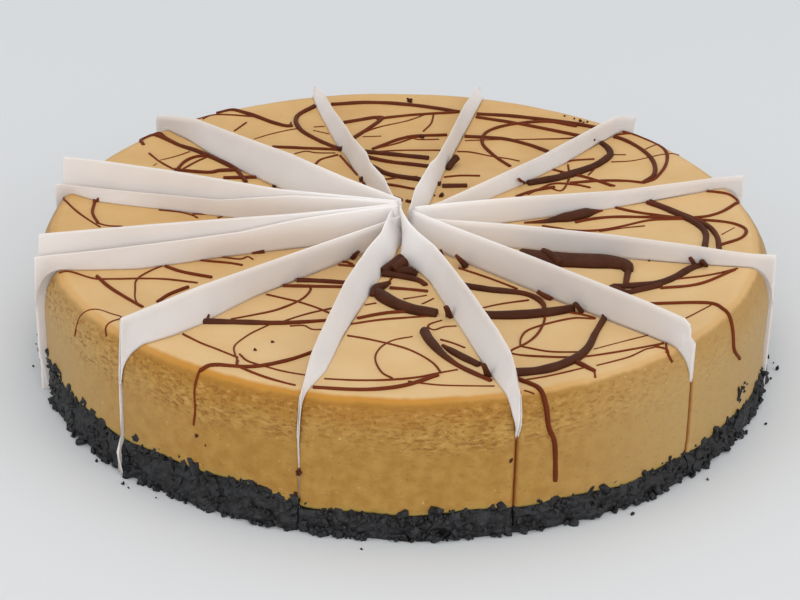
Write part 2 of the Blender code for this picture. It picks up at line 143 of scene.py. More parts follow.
camera_data = bpy.data.cameras.new("camera")
camera_data.lens = LENS_MM
camera = bpy.data.objects.new("camera", camera_data)
bpy.context.scene.collection.objects.link(camera)
camera.location = (
    0,
    -CAMERA_DISTANCE * math.cos(CAMERA_ELEVATION),
    CAMERA_DISTANCE * math.sin(CAMERA_ELEVATION),
)
camera.rotation_mode = "QUATERNION"
sight = (CAMERA_AIM - camera.location).to_track_quat("-Z", "Y")
camera.rotation_quaternion = sight @ Quaternion((0, 0, 1), CAMERA_ROLL)
bpy.context.scene.camera = camera
print("camera", round(camera.location.length, 3), "m away with a lens of", LENS_MM, "mm")

# %% [markdown]
# The photograph has the even light of a light tent: a big soft source overhead and soft fill from
# the front, the left and the right. A bright world does most of that work, and the area lamps only
# give the shapes their gentle shading.

# %% Light
WORLD_COLOUR = "E2E3E4"
WORLD_STRENGTH = 0.92
LAMPS = (
    ("overhead", (0.0, 0.25, 1.5), 1.6, 4.5),
    ("front_fill", (0.0, -1.5, 0.7), 1.2, 8.0),
    ("right_fill", (1.5, -0.7, 0.7), 1.0, 6.0),
    ("left_fill", (-1.5, -0.7, 0.7), 1.0, 4.5),
)

world = bpy.data.worlds.new("studio")
world.use_nodes = True
world_light = world.node_tree.nodes["Background"]
world_light.inputs["Color"].default_value = linear(WORLD_COLOUR)
world_light.inputs["Strength"].default_value = WORLD_STRENGTH
bpy.context.scene.world = world
bpy.context.scene.view_settings.view_transform = "Standard"
for name, place, side, watts in LAMPS:
    lamp = bpy.data.lights.new(name, "AREA")
    lamp.shape = "SQUARE"
    lamp.size = side
    lamp.energy = watts
    lamp_object = bpy.data.objects.new(name, lamp)
    lamp_object.location = place
    lamp_object.rotation_euler = (-Vector(place)).to_track_quat("-Z", "Y").to_euler()
    bpy.context.scene.collection.objects.link(lamp_object)
print("lamps:", len(LAMPS))

# %% [markdown]
# The cake stands on a pale, matt sheet of paper that runs far behind it, so that the floor and the
# world meet without an edge.

# %% Floor
FLOOR_SIDE = 6.0
FLOOR_SQUARES = 8
floor_paint, _ = new_material(
    "matt_table_paper", {"Base Color": linear("D6D8DA"), "Roughness": 0.9}
)
bm = bmesh.new()
bmesh.ops.create_grid(bm, x_segments=FLOOR_SQUARES, y_segments=FLOOR_SQUARES, size=FLOOR_SIDE / 2)
floor_mesh = bpy.data.meshes.new("floor")
bm.to_mesh(floor_mesh)
bm.free()
floor_mesh.materials.append(floor_paint)
floor = bpy.data.objects.new("floor", floor_mesh)
bpy.context.scene.collection.objects.link(floor)
print("floor:", FLOOR_SIDE, "m square")

# %% [markdown]
# Every piece of the cake follows the same profile, so the profile is worked out once: the height
# of the top at a radius, and the rounded shoulder as a superellipse. The crust's edge is pressed
# by hand: it waves a little, and it stands higher at the front left.

# %% The cake's profile
CRUST_RISE = 4 * MM
CRUST_HIGHEST = (222, 0.8, 0.94)
EDGE_WAVE = 0.5 * MM
EDGE_START = 100 * MM


def smooth_step(value, low, high):
    """0 below low, 1 above high, and a soft S-curve between them."""
    t = np.clip((np.asarray(value, float) - low) / (high - low), 0.0, 1.0)
    return t * t * (3 - 2 * t)


def top_height(radius):
    """The height of the top at a radius: a shallow dish, then the shoulder's drop."""
    radius = np.asarray(radius, float)
    dish = RIM_HEIGHT - TOP_SAG * (1 - np.minimum(radius / PLATEAU, 1.0) ** 2)
    across = np.clip((radius - PLATEAU) / SHOULDER_RUN, 0.0, 1.0)
    drop = (1 - across**SHOULDER_POWER) ** (1 / SHOULDER_POWER)
    return np.where(radius <= PLATEAU, dish, RIM_HEIGHT - SHOULDER_DROP * (1 - drop))


def shoulder_curve(steps):
    """(radius, height) rows from the side up to the edge of the top, without the first."""
    turn = np.linspace(0, math.pi / 2, steps + 1)[1:]
    run = np.clip(np.cos(turn), 0, 1) ** (2 / SHOULDER_POWER)
    rise = np.sin(turn) ** (2 / SHOULDER_POWER)
    return np.column_stack(
        [CAKE_RADIUS - SHOULDER_RUN * (1 - run), RIM_HEIGHT - SHOULDER_DROP * (1 - rise)]
    )


def toward(angle, degrees, low, high):
    """From 0 to 1 towards one side of the cake; low and high are cosines of the angle to it."""
    return smooth_step(np.cos(angle - math.radians(degrees)), low, high)


def crust_top(radius, angle):
    """The crust's upper face, which waves and climbs only near the wall."""
    climb = CRUST_RISE * toward(angle, *CRUST_HIGHEST)
    wave = EDGE_WAVE * (np.sin(9 * angle + 0.7) + np.sin(23 * angle + 2.1))
    return CRUST_HEIGHT + (climb + wave) * smooth_step(radius, EDGE_START, CAKE_RADIUS)


def slice_angle(number, across, radius):
    """The direction of a point of a slice; its two cut faces stay parallel to their cuts."""
    inset = np.arcsin(CUT_GAP / 2 / radius)
    low = cut_angle(number - 1) + inset
    high = cut_angle(number) - inset
    return low + (high - low) * across


def noise_at(points, cell, shift=0.0):
    """Perlin noise from about -1 to 1 at each point; cell is its grain in metres, for each axis."""
    cell = np.broadcast_to(np.asarray(cell, float), 3)
    scaled = (np.asarray(points) / cell + shift).reshape(-1, 3)
    values = [noise.noise(point) for point in scaled.tolist()]
    return np.array(values).reshape(np.asarray(points).shape[:-1])


print("middle of the top:", round(float(top_height(0.0)) / MM, 1), "mm high")

# %% [markdown]
# Meshes here are grids of points that a function shapes, because relief of half a millimetre has
# to be real geometry to catch the light. One function turns such arrays into an object, and can
# store masks on its points that the material reads.


# %% Mesh helper
def mesh_object(name, points, faces, material, masks=None, smooth=True):
    """An object from points and faces, with its normals outward and its masks stored."""
    mesh = bpy.data.meshes.new(name)
    mesh.from_pydata(np.asarray(points).reshape(-1, 3).tolist(), [], [list(f) for f in faces])
    mesh.materials.append(material)
    for mask, values in (masks or {}).items():
        layer = mesh.attributes.new(mask, "FLOAT", "POINT")
        layer.data.foreach_set("value", np.asarray(values, np.float32).ravel())
    bm = bmesh.new()
    bm.from_mesh(mesh)
    bmesh.ops.recalc_face_normals(bm, faces=bm.faces)
    bm.to_mesh(mesh)
    bm.free()
    mesh.polygons.foreach_set("use_smooth", [smooth] * len(mesh.polygons))
    obj = bpy.data.objects.new(name, mesh)
    bpy.context.scene.collection.objects.link(obj)
    return obj


def grid_faces(rows, columns, closed=False):
    """Quads between neighbouring rows of a grid; a closed grid joins its last column to its first."""
    faces = []
    for row in range(rows - 1):
        for column in range(columns if closed else columns - 1):
            after = (column + 1) % columns
            a = row * columns + column
            b = row * columns + after
            faces.append((a, b, b + columns, a + columns))
    return faces


def wedge_faces(rows, columns):
    """Faces of a slice-shaped shell: the grid that wraps it, its two cut faces and its tip."""
    top = (rows - 1) * columns
    faces = grid_faces(rows, columns)
    faces += [[row * columns + end for row in range(rows)] for end in (0, columns - 1)]
    faces += [(c, c + 1, top + c + 1, top + c) for c in range(columns - 1)]
    return faces


print("a grid of 3 by 4 points has", len(grid_faces(3, 4)), "faces")

# %% [markdown]
# Baked cheesecake is a dense custard of soft cheese, egg and caramel, set in a pan. It is matt, with
# a slight gloss on its top, and light goes a little way in, so it has some subsurface scattering.
# Its patterns are noise of real sizes: soft mottling over 14 mm, clouds of 4.5 mm on the side,
# flecks of 1.3 mm, and small tears and pits that are wider than they are tall. The curd's own grain
# is about 0.1 mm and real pits are about 1 mm wide, which is too fine for the render, so they are
# drawn at 0.5 mm and 2.3 mm. The mesh carries masks that say where each finish is.

# %% Baked caramel cheesecake: patterns
CURD_GRAIN = 0.5
PIT_WIDTH = 2.3
PIT_SQUASH = 2.4
custard, custard_shader = new_material(
    "baked_caramel_cheesecake",
    {
        "Roughness": 0.5,
        "IOR": 1.42,
        "Specular IOR Level": 0.35,
        "Subsurface Weight": 0.1,
        "Subsurface Radius": (1.0, 0.55, 0.25),
        "Subsurface Scale": 2.0 * MM,
    },
)
whole = add(custard, "TexCoord", "Object")
squash = {"Vector": whole, "Scale": (1.0, 1.0, PIT_SQUASH)}
flattened = add(custard, "Mapping", "Vector", None, squash)
# Each pattern is its grain in millimetres, its detail and the space it is drawn in.
PATTERNS = {
    "mottle": (14, 3, whole),
    "cloudy": (4.5, 3, whole),
    "fleck": (1.3, 3, whole),
    "curd": (CURD_GRAIN, 2, whole),
    "tear": (PIT_WIDTH, 3, flattened),
    "lone": (1.5, 1, flattened),
}
pattern = {}
for name, (grain, detail, space) in PATTERNS.items():
    sockets = {"Vector": space, "Scale": 1 / (grain * MM), "Detail": detail}
    pattern[name] = add(custard, "TexNoise", "Fac", None, sockets)
MASKS = ("side", "gold", "warm", "pale", "torn", "low", "top_shade", "gap_shade")
mask = {name: add(custard, "Attribute", "Fac", {"attribute_name": name}) for name in MASKS}
print("patterns of the custard:", ", ".join(pattern))

# %% [markdown]
# The top is pale and smooth, a narrow band at the turn of the shoulder browned to gold, and the
# side is a golden brown that tore where it let go of the pan. Each of the three ground colours
# drifts between two tones. Small marks lie over them: pale flakes and dark pits where the side
# tore, lone pits below that band, and darker and paler flecks.

# %% Baked caramel cheesecake: tones and marks
TONES = {
    "top": ("mottle", 0.35, 0.7, "D9B682", "D4AE76"),
    # The second pair is painted shade: the top is drawn darker towards the back and left.
    "shaded_top": ("mottle", 0.35, 0.7, "D3AB70", "CBA064"),
    "side": ("cloudy", 0.35, 0.65, "AA823F", "9D7230"),
}
# Each mark is where its pattern starts and is full, the mask that bounds it and its strength.
MARKS = {
    "flake": ("tear", 0.44, 0.34, "torn", 0.5),
    "torn_pit": ("tear", 0.57, 0.64, "torn", 1.0),
    "lone_pit": ("lone", 0.68, 0.74, "side", 0.35),
    "dark_fleck": ("fleck", 0.6, 0.72, "side", 0.3),
    "pale_fleck": ("fleck", 0.3, 0.24, "side", 0.5),
}
tone = {}
for name, (source, low, high, first, second) in TONES.items():
    span = {"Value": pattern[source], "From Min": low, "From Max": high}
    drift = add(custard, "MapRange", "Result", None, span)
    pair = {MIX_AMOUNT: drift, MIX_UNDER: linear(first), MIX_OVER: linear(second)}
    tone[name] = add(custard, "Mix", MIX_RESULT, COLOUR_MIX, pair)
mark = {}
for name, (source, low, high, bound, strength) in MARKS.items():
    span = {"Value": pattern[source], "From Min": low, "From Max": high, "To Max": strength}
    spots = add(custard, "MapRange", "Result", None, span)
    mark[name] = add(
        custard, "Math", "Value", {"operation": "MULTIPLY"}, {0: spots, 1: mask[bound]}
    )
print("tones and marks:", ", ".join([*tone, *mark]))

# %% [markdown]
# The colours are laid over one another like glazes, each where its mask or mark rises from 0 to 1.
# The side has three of its own first: paler away from the front, which is a painted sheen, warmer
# under the shoulder and greyer just above the crust. The same pits, with the curd's grain, also
# press the surface in.

# %% Baked caramel cheesecake: layers and relief
# How far the pits are darkened, by their own tone and by painted shade in the hollows.
PIT_TONE_AND_SHADE = 0.6
PIT_SINK = 0.35 * MM
CURD_RISE = 0.12
side_tone = tone["side"]
# The first glaze is a painted sheen: the side is drawn paler away from the front.
for name, tint in (("pale", "AC8B54"), ("warm", "9C6C20"), ("low", "9E8743")):
    glaze = {MIX_AMOUNT: mask[name], MIX_UNDER: side_tone, MIX_OVER: linear(tint)}
    side_tone = add(custard, "Mix", MIX_RESULT, COLOUR_MIX, glaze)
pits = {0: mark["torn_pit"], 1: mark["lone_pit"]}
pitted = add(custard, "Math", "Value", {"operation": "MAXIMUM"}, pits)
# The pits' darker colour is partly the torn custard's own tone and partly painted shade in the hollows.
pit_tone_and_shade = add(custard, "Math", "Value", {"operation": "MULTIPLY"}, {0: pitted, 1: PIT_TONE_AND_SHADE})
LAYERS = (
    # Painted shade: the top darker towards the back and left.
    (mask["top_shade"], tone["shaded_top"]),
    (mask["gold"], linear("B97D1E")),
    (mask["side"], side_tone),
    (mark["flake"], linear("C79F5C")),
    # Pits: their own tone and painted shade in the hollows.
    (pit_tone_and_shade, linear("985A22")),
    (mark["dark_fleck"], linear("946326")),
    (mark["pale_fleck"], linear("E2C383")),
    # Painted shade down the side beside two of the cuts.
    (mask["gap_shade"], linear("8F561F")),
)
colour = tone["top"]
for amount, over in LAYERS:
    glaze = {MIX_AMOUNT: amount, MIX_UNDER: colour, MIX_OVER: over}
    colour = add(custard, "Mix", MIX_RESULT, COLOUR_MIX, glaze)
curd_rise = {0: pattern["curd"], 1: CURD_RISE}
curd_height = add(custard, "Math", "Value", {"operation": "MULTIPLY"}, curd_rise)
pit_relief = {0: curd_height, 1: pitted}
height = add(custard, "Math", "Value", {"operation": "SUBTRACT"}, pit_relief)
custard_relief = {"Strength": 0.9, "Distance": PIT_SINK, "Height": height}
normal = add(custard, "Bump", "Normal", None, custard_relief)
set_sockets(custard, custard_shader, {"Base Color": colour, "Normal": normal})
print("custard nodes:", len(custard.node_tree.nodes))

# %% [markdown]
# A slice is one grid of points wrapped round its profile: along the bottom, up the side, over the
# shoulder and back in along the top, once for each column from one cut to the next. Modelling it
# as a grid, and not as a sculpture, lets every later step work out its relief and its masks for
# all points at once.

# %% The grid of a slice
SIDE_STEP = 0.6 * MM
CUT_STEPS = np.array([0.0, 0.25, 0.6, 1.1, 1.7, 2.3]) * MM
MIDDLE_START, MIDDLE_END = 3.0 * MM, 2.8 * MM
SHOULDER_ROWS = 30
BOTTOM_RADII = np.array([3.2, 30, 62, 92, 112, 122]) * MM
TOP_STEP_PLACES, TOP_STEPS = (20 * MM, PLATEAU), (2.6 * MM, 1.4 * MM)


def slice_columns(number):
    """How far across the slice each column lies, from 0 to 1, closer together near the cuts."""
    arc = CAKE_RADIUS * (cut_angle(number) - cut_angle(number - 1))
    middle = np.arange(MIDDLE_START, arc - MIDDLE_END, SIDE_STEP)
    return np.concatenate([CUT_STEPS, middle, arc - CUT_STEPS[::-1]]) / arc


def top_radii():
    """Radii from the edge of the top inwards, closer together where the light rakes it."""
    radii = [PLATEAU]
    while radii[-1] > TIP_RADIUS + 3 * MM:
        radii.append(radii[-1] - np.interp(radii[-1], TOP_STEP_PLACES, TOP_STEPS))
    return np.array(radii[1:] + [TIP_RADIUS])


def slice_grid(number):
    """Radius, angle and height of every grid point, row by row from the inner end of the bottom."""
    across = slice_columns(number)
    rows = []
    for radius in BOTTOM_RADII:
        angle = slice_angle(number, across, radius)
        rows.append((np.full_like(across, radius), angle, crust_top(radius, angle) + LAYER_GAP))
    rim_angle = slice_angle(number, across, CAKE_RADIUS)
    foot = crust_top(CAKE_RADIUS, rim_angle) + LAYER_GAP
    side_rows = round((SIDE_TOP - CRUST_HEIGHT) / SIDE_STEP)
    for climb in np.linspace(0, 1, side_rows):
        height = foot + (SIDE_TOP - foot) * climb
        rows.append((np.full_like(across, CAKE_RADIUS), rim_angle, height))
    for radius, height in shoulder_curve(SHOULDER_ROWS):
        angle = slice_angle(number, across, radius)
        rows.append((np.full_like(across, radius), angle, np.full_like(across, height)))
    for radius in top_radii():
        angle = slice_angle(number, across, radius)
        rows.append((np.full_like(across, radius), angle, np.full_like(across, top_height(radius))))
    return [np.array(part) for part in zip(*rows)]


print("grid of the first slice:", slice_grid(1)[0].shape)

# %% [markdown]
# Relief is pushed along the surface's own direction, so the side moves in and out and the top up
# and down. The knife rounded the edges at the cuts, and for that each point needs its distance
# from the nearer cut face.

# %% Directions and distances on a slice
def from_polar(radius, angle, height):
    """Points in metres from a radius, a direction in radians and a height."""
    return np.stack([radius * np.cos(angle), radius * np.sin(angle), height], axis=-1)


def outward(radius, height):
    """The surface normal in the profile's plane, as its radial and upward parts."""
    along_r = np.gradient(radius, axis=0)
    along_z = np.gradient(height, axis=0)
    length = np.hypot(along_r, along_z) + 1e-9
    return along_z / length, -along_r / length


def cut_distance(number, radius, angle):
    """How far each point is from the nearer of its slice's two cut faces."""
    first = radius * np.sin(angle - cut_angle(number - 1))
    second = radius * np.sin(cut_angle(number) - angle)
    return np.minimum(first, second) - CUT_GAP / 2


middle_distance = cut_distance(1, CAKE_RADIUS, (cut_angle(0) + cut_angle(1)) / 2)
print("middle of the first slice to a cut:", round(float(middle_distance) / MM, 1), "mm")

# %% [markdown]
# The finishes meet along edges that wander, so each mask is a smooth step over a radius or a level
# that noise has moved about. The turn of the shoulder is gold mostly at the front and the side is
# torn mostly at the front left. Three masks hold painted light and shade: the top darker towards
# the back and left as painted shade, the side paler away from the front as a painted sheen, and a
# dark line of painted shade down the side beside two of the cuts, where the gap is in shade.

# %% Where each finish is
GOLDEN_FRONT = (256, 0.7, 0.98)
DARK_RIM = (312, 0.6, 0.95)
PITTED_SIDE = (243, 0.3, 0.8)
FRONT = (262, 0.6, 0.97)
# The two cuts whose gap gets a dark line of painted shade down the side.
SHADED_GAP_CUTS = (10, 11)
GOLD_TURN = (119.4 * MM, 121.4 * MM)
SIDE_TURN = (121.7 * MM, 123.4 * MM)
TORN_TURN = (122.9 * MM, 124.5 * MM)
TORN_LEVEL = (27 * MM, 35 * MM)
WARM_LEVEL = (36 * MM, 44 * MM)
LOW_BAND = (0.2 * MM, 2.2 * MM)
GAP_SHADE_WIDTH = (0.1 * MM, 0.9 * MM)
TOP_SHADE_SPREAD = (-60 * MM, 60 * MM)
SLOW_WANDER = 9 * MM
QUICK_WANDER = 2.4 * MM
TORN_PATCH = 17 * MM


def finish_masks(number, flat, radius, angle, height):
    """Where each finish of the custard is, from 0 to 1, for every point of a slice."""
    slow = noise_at(flat, SLOW_WANDER, 17.0)
    quick = noise_at(flat, QUICK_WANDER, 19.0)
    turn = radius + (0.45 * slow + 0.3 * quick + 1.0 * toward(angle, *DARK_RIM)) * MM
    level = height + 1.8 * MM * slow
    side = smooth_step(turn, *SIDE_TURN)
    facing = toward(angle, *GOLDEN_FRONT)
    torn = smooth_step(turn, *TORN_TURN) * smooth_step(level, *TORN_LEVEL)
    torn *= np.clip(0.85 + 0.7 * noise_at(flat, TORN_PATCH, 3.0), 0, 1)
    torn *= 0.3 + 0.7 * toward(angle, *PITTED_SIDE)
    above_crust = height - crust_top(CAKE_RADIUS, angle)
    # Painted shade: a dark line down the side beside two of the cuts, where the gap between the slices
    # is in shade.
    gap_shade = np.zeros(radius.shape)
    for cut in (number - 1, number):
        if cut % len(CUTS_DEG) in SHADED_GAP_CUTS:
            beside = radius * np.abs(np.sin(angle - cut_angle(cut))) - CUT_GAP / 2
            strength = 0.9 * (1 - smooth_step(beside + 0.2 * MM * quick, *GAP_SHADE_WIDTH))
            gap_shade = np.maximum(gap_shade, strength * side)
    return {
        "side": side,
        "gold": smooth_step(turn, *GOLD_TURN) * (0.3 + 0.65 * facing),
        "warm": side * smooth_step(level, *WARM_LEVEL) * (0.3 + 0.7 * facing),
        # Painted sheen: the side is paler away from the front.
        "pale": 1 - toward(angle, *FRONT),
        "torn": torn,
        "low": 0.8 * (1 - smooth_step(above_crust + 0.5 * MM * quick, *LOW_BAND)),
        # Painted shade: the top grows darker towards the back and left.
        "top_shade": smooth_step(0.8 * flat[..., 1] - 0.5 * flat[..., 0], *TOP_SHADE_SPREAD),
        "gap_shade": gap_shade,
    }


print("cuts with gap_shade_line:", len(SHADED_GAP_CUTS))

# %% [markdown]
# Now each slice is made. Its skin swells and dips in waves of three sizes, which are strongest on
# the side and where it is torn, shallow hollows lie in the torn band, and the edges at the cuts are
# rounded over half a millimetre. The underside stays flat on the crust.

# %% Slices of cheesecake
EDGE_ROUND = 0.5 * MM
EDGE_REACH = 1.1 * MM
PIT_DEPTH = 0.4 * MM
HOLLOW_CELL = (3.0 * MM, 3.0 * MM, 1.2 * MM)
# Height and grain in millimetres, shift of the noise, and share on all skin, side and torn skin.
SKIN_WAVES = ((0.22, 26, 5.0, 1, 0, 0), (0.16, 4.5, 7.0, 0.25, 0.75, 0), (0.12, 1.6, 9.0, 0, 0.3, 0.7))


def make_slice(number):
    """The custard of one slice, with its relief and its masks."""
    radius, angle, height = slice_grid(number)
    rows, columns = radius.shape
    flat = from_polar(radius, angle, height)
    skin = np.arange(rows)[:, None] >= len(BOTTOM_RADII)
    masks = finish_masks(number, flat, radius, angle, height)
    torn, side = masks["torn"], masks["side"]
    relief = -PIT_DEPTH * smooth_step(noise_at(flat, HOLLOW_CELL, 11.0), 0.1, 0.55) * torn
    for rise, grain, shift, plain, on_side, on_torn in SKIN_WAVES:
        share = plain + on_side * side + on_torn * torn
        relief += rise * MM * noise_at(flat, grain * MM, shift) * skin * share
    near_cut = np.clip(1 - cut_distance(number, radius, angle) / EDGE_REACH, 0, 1)
    relief -= EDGE_ROUND * near_cut**2 * skin
    normal_r, normal_z = outward(radius, height)
    points = from_polar(radius + relief * normal_r, angle, height + relief * normal_z)
    faces = wedge_faces(rows, columns)
    piece = mesh_object(f"slice_{number:02d}_custard", points, faces, custard, masks)
    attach(piece, "root")
    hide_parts(f"slice_{number:02d}_cheesecake")
    return piece


slices = [make_slice(number) for number in SLICES]
print("slices:", len(slices), "with", sum(len(s.data.polygons) for s in slices), "faces")

# %% [markdown]
# The chocolate was poured in fast loops from a spoon, so thick ropes and fine threads cross each
# other, run over the shoulder and stop where the knife went through. Each strand is a width in
# millimetres, or one width for each of several places along it, and the points that it passes, as
# (x, y) in millimetres on the top, with a third number where it stands up off the cake. Beyond
# the shoulder the side counts as folded out flat, so that one route can run over the edge.

# %% Routes of the thick drizzle
ROPES = {
    1: [
        ((1, 2, 3, 4.8, 4.6, 2.6, 0.8), (42, 10.5), (49.1, 11.3), (53.4, 12.7), (57.9, 14),
         (63.1, 16.6), (66.8, 18.8), (70.2, 20.4)),
        ((1.9, 2.2, 2.4, 2.4, 2.2, 2), (86.6, 26), (91.7, 21.4), (98.2, 13.5), (103.1, 5.7),
         (104.5, -0.8), (103.2, -9.5), (102.8, -13)),
        (1.9, (87.8, 26.7), (94.4, 19.6), (100.9, 12.6), (105.9, 5.6), (108.1, -2.6), (107.8, -11.4),
         (107.4, -14)),
        (1.3, (60, 11), (66, 13.4), (74, 14.8), (88, 14), (100, 12.4)),
        (1.2, (75.1, 22.4), (81.3, 18.8), (91.1, 15), (99.4, 12)),
        (1.2, (104.8, 34.6), (109.7, 33.9), (114.4, 32.2), (118, 29.8), (118.9, 25.4), (113, 17.7),
         (107.5, 14), (102.4, 13), (98, 12.6)),
        (1.3, (99.4, 12), (111.9, 8.7), (117.2, 4.9), (118.7, 0.7), (116, -4.8), (108.7, -9.4)),
    ],
    2: [
        ((3, 3.2, 3, 2.8, 2.8, 2.6, 2.2), (44.6, 42.6), (56.8, 47.7), (67.7, 55.2), (72.6, 60.3),
         (76.2, 66.5), (75.8, 72), (73.7, 76.6)),
        (1.8, (74.8, 82.5), (80.1, 81.2), (85.8, 74.7), (90.4, 65.7), (92, 56.9), (90.8, 48.4),
         (86.5, 42.6)),
        (1.2, (60, 43.4), (70, 44.8), (80, 44.4), (87, 42.4)),
        (1.3, (57, 52.6), (66, 48), (75, 40.6)),
        (1.4, (40, 32), (46, 36.6), (54, 40)),
    ],
    3: [
        (1.7, (26, 102.8), (40, 101), (54, 97.4), (65.4, 93.6), (73, 90.2)),
        (1.5, (26.6, 100), (42, 94.6), (55, 88.8), (66, 83.4)),
        (1.4, (65, 92), (54, 96.2), (40, 93.6), (30.5, 87), (28.6, 77), (33, 66), (38.4, 57.4)),
        (1.7, (22, 82.8), (36, 81), (46, 75.8), (53, 69.8)),
        (2, (13.4, 40), (22, 40.6)),
        ((2.6, 3), (15.2, 54.5, 0.2), (17, 57.5, 1.4), (18.6, 59.5, 2.4)),
    ],
    4: [
        (1.7, (-30, 108.2), (-14, 111), (2, 109.6), (20, 104.4)),
        (1.6, (-24.6, 92.6), (-12, 98), (-10.6, 95.6), (-20.6, 79)),
        (1.4, (-12, 96.6), (2, 101), (19, 104)),
        (2.1, (-16, 67.6), (-6, 66), (8, 63.4)),
        (1.9, (-14.6, 63), (-6, 59.6), (8, 56.4)),
        (2.1, (-12.6, 55), (-6, 48.6), (5, 45)),
        (1.4, (-13, 70.4), (0, 81.4), (15, 84)),
    ],
    5: [
        (1.8, (-36.6, 106), (-43, 96), (-41, 85), (-33.6, 76), (-26.4, 70)),
        (1.5, (-50.6, 68.8), (-26.4, 68.8)),
        (1.7, (-44.4, 87.9), (-46.9, 87.5), (-52.4, 90.2), (-60.7, 95.8), (-69.2, 99.6), (-73.8, 96.7)),
    ],
    6: [
        ((1.3, 1.5, 1.6, 2, 1.8, 1.6), (-98.6, 64), (-100.1, 68.6), (-97.3, 73), (-93.6, 72),
         (-85.7, 65.7), (-79.2, 62), (-74.1, 58.4), (-66.5, 52), (-62.4, 47.5), (-58.4, 38.2)),
        (1.2, (-96.2, 75), (-93.9, 75.5), (-90.6, 71), (-86, 66.6)),
        (1.6, (-85, 44.5), (-72.8, 44.2), (-68.8, 46.2), (-62.4, 47.7)),
        (1.3, (-84.1, 45.4), (-82, 52.2), (-78.6, 56.6), (-74.1, 58.4)),
        (1.6, (-66.6, 40.4), (-55, 42.4)),
    ],
    7: [
        (1.2, (-120, 29), (-116, 22), (-110.6, 16), (-109.6, 5), (-106.6, -3)),
    ],
    8: [
        ((1.4, 2.2, 2), (-52, -19), (-45, -16.6), (-39, -14)),
        (1.3, (-79.6, -60), (-76.6, -54), (-71, -47.6)),
        (1.3, (-101.4, -44), (-96, -52), (-89, -59.6), (-84, -64.6)),
        (1.2, (-80, -33), (-74, -36.4), (-64, -39.2)),
    ],
    9: [
        (1.8, (-37.6, -38.8), (-28, -38.6), (-17.4, -39.4)),
        (1.4, (-40, -43.2), (-18, -42.2)),
        ((2.6, 2.2, 1.7, 1.3), (-65, -73), (-50, -71.9), (-38, -70.8), (-24, -67.6)),
        (1.4, (-27, -90), (-36, -97.8), (-46, -102.8), (-57, -102.8), (-61.6, -105.4)),
    ],
    10: [
        ((3.4, 4.4, 4), (-7, -31.2, 0.4), (-4.4, -28.6, 1), (-0.9, -25.2, 2.6)),
        ((3.4, 3.8), (-3.4, -31.2, 1.6), (0.2, -28.2, 3)),
        ((3, 3.4, 2.6), (-2.4, -31.2, 0.9), (1.2, -31.7, 1.4), (3.8, -32, 0.4)),
        ((2.8, 2.6, 2, 1.8), (-7, -32, 0.2), (-2.4, -33, 0.2), (4.6, -36, 0.1), (7.2, -39.4, 0.1)),
        ((2.2, 3.4, 2.8, 1.4), (-10.2, -48.4, 0.1), (-9.2, -44.6, 0.5), (-7, -41.6, 0.4),
         (-4.8, -38, 0.1)),
        ((3.8, 4.8, 4.8, 4.4, 3.8), (-8.6, -46.6), (-6.3, -50.4), (-2.1, -55.4), (3.7, -59.4),
         (10.6, -61.4)),
        (1.4, (-4.6, -42.1), (1.3, -42.8), (7.8, -44.1)),
        ((3.4, 3.4, 3, 2.2, 1.8, 1.6), (6.8, -74), (8.3, -80), (11, -87), (14, -93), (19, -100),
         (27, -108)),
        ((1.2, 2.4, 2.6, 2.6), (12.6, -83.6), (15.1, -87.6), (18.4, -91.9), (23.7, -97.6)),
        (1.4, (-26.6, -115.4), (-12, -115.8), (0, -112.6), (11, -104.6)),
        (1.3, (-15.6, -65.8), (-6, -61), (4, -59)),
    ],
    11: [
        ((2.6, 2.6, 2.2, 1.8, 1.4), (15, -38), (28, -42.4), (40, -45.2), (45.4, -52), (45.6, -60)),
        (3.6, (21, -62.3), (35, -62), (45, -60.3), (55, -57)),
        ((2, 2.2, 2.6, 3, 3.2, 3.2), (64.6, -64), (61, -75), (58, -85), (53, -93.6), (44, -100.6),
         (32, -103.6)),
        ((1.8, 1.4), (54, -95), (59, -101)),
        (1.6, (34.6, -106), (41, -112), (44, -118), (46.6, -124), (51, -129), (57, -141)),
    ],
    12: [
        ((6, 7, 8.4, 9, 8.4, 6, 3), (40, -15.6), (46, -17.6), (54, -19.8), (62, -20.8), (69, -21.8),
         (74.4, -24.6), (75.6, -28.6)),
        ((2.6, 2.2, 2), (75.5, -27.5), (74.7, -32), (73.6, -38.6)),
        (2.6, (47.4, -16, 1.8), (50, -20, 2.2), (52.4, -23.6, 1)),
        ((2.4, 2.4, 2.6, 2.6, 2.2), (69.4, -40), (76.5, -40.2), (84.8, -38.2), (90.6, -33.8),
         (96, -27.9), (100, -25.2)),
        (2.2, (68.6, -40.4), (73.4, -44.6), (77.6, -43.2), (85.3, -39.6)),
        (1.2, (85, -41.6), (98, -39), (111, -29)),
        (1.3, (80.6, -53), (99, -53.4), (104, -59), (107, -66), (111, -71), (118, -70)),
    ],
}
print("thick strands:", sum(len(strands) for strands in ROPES.values()))

# %% [markdown]
# Between the ropes the chocolate fell off the spoon as fine threads, most of them less than a
# millimetre wide. They are written in the same way as the ropes, so that one function can make
# both. A few short stubs stand up off the cake, where the knife pulled a broken strand along.

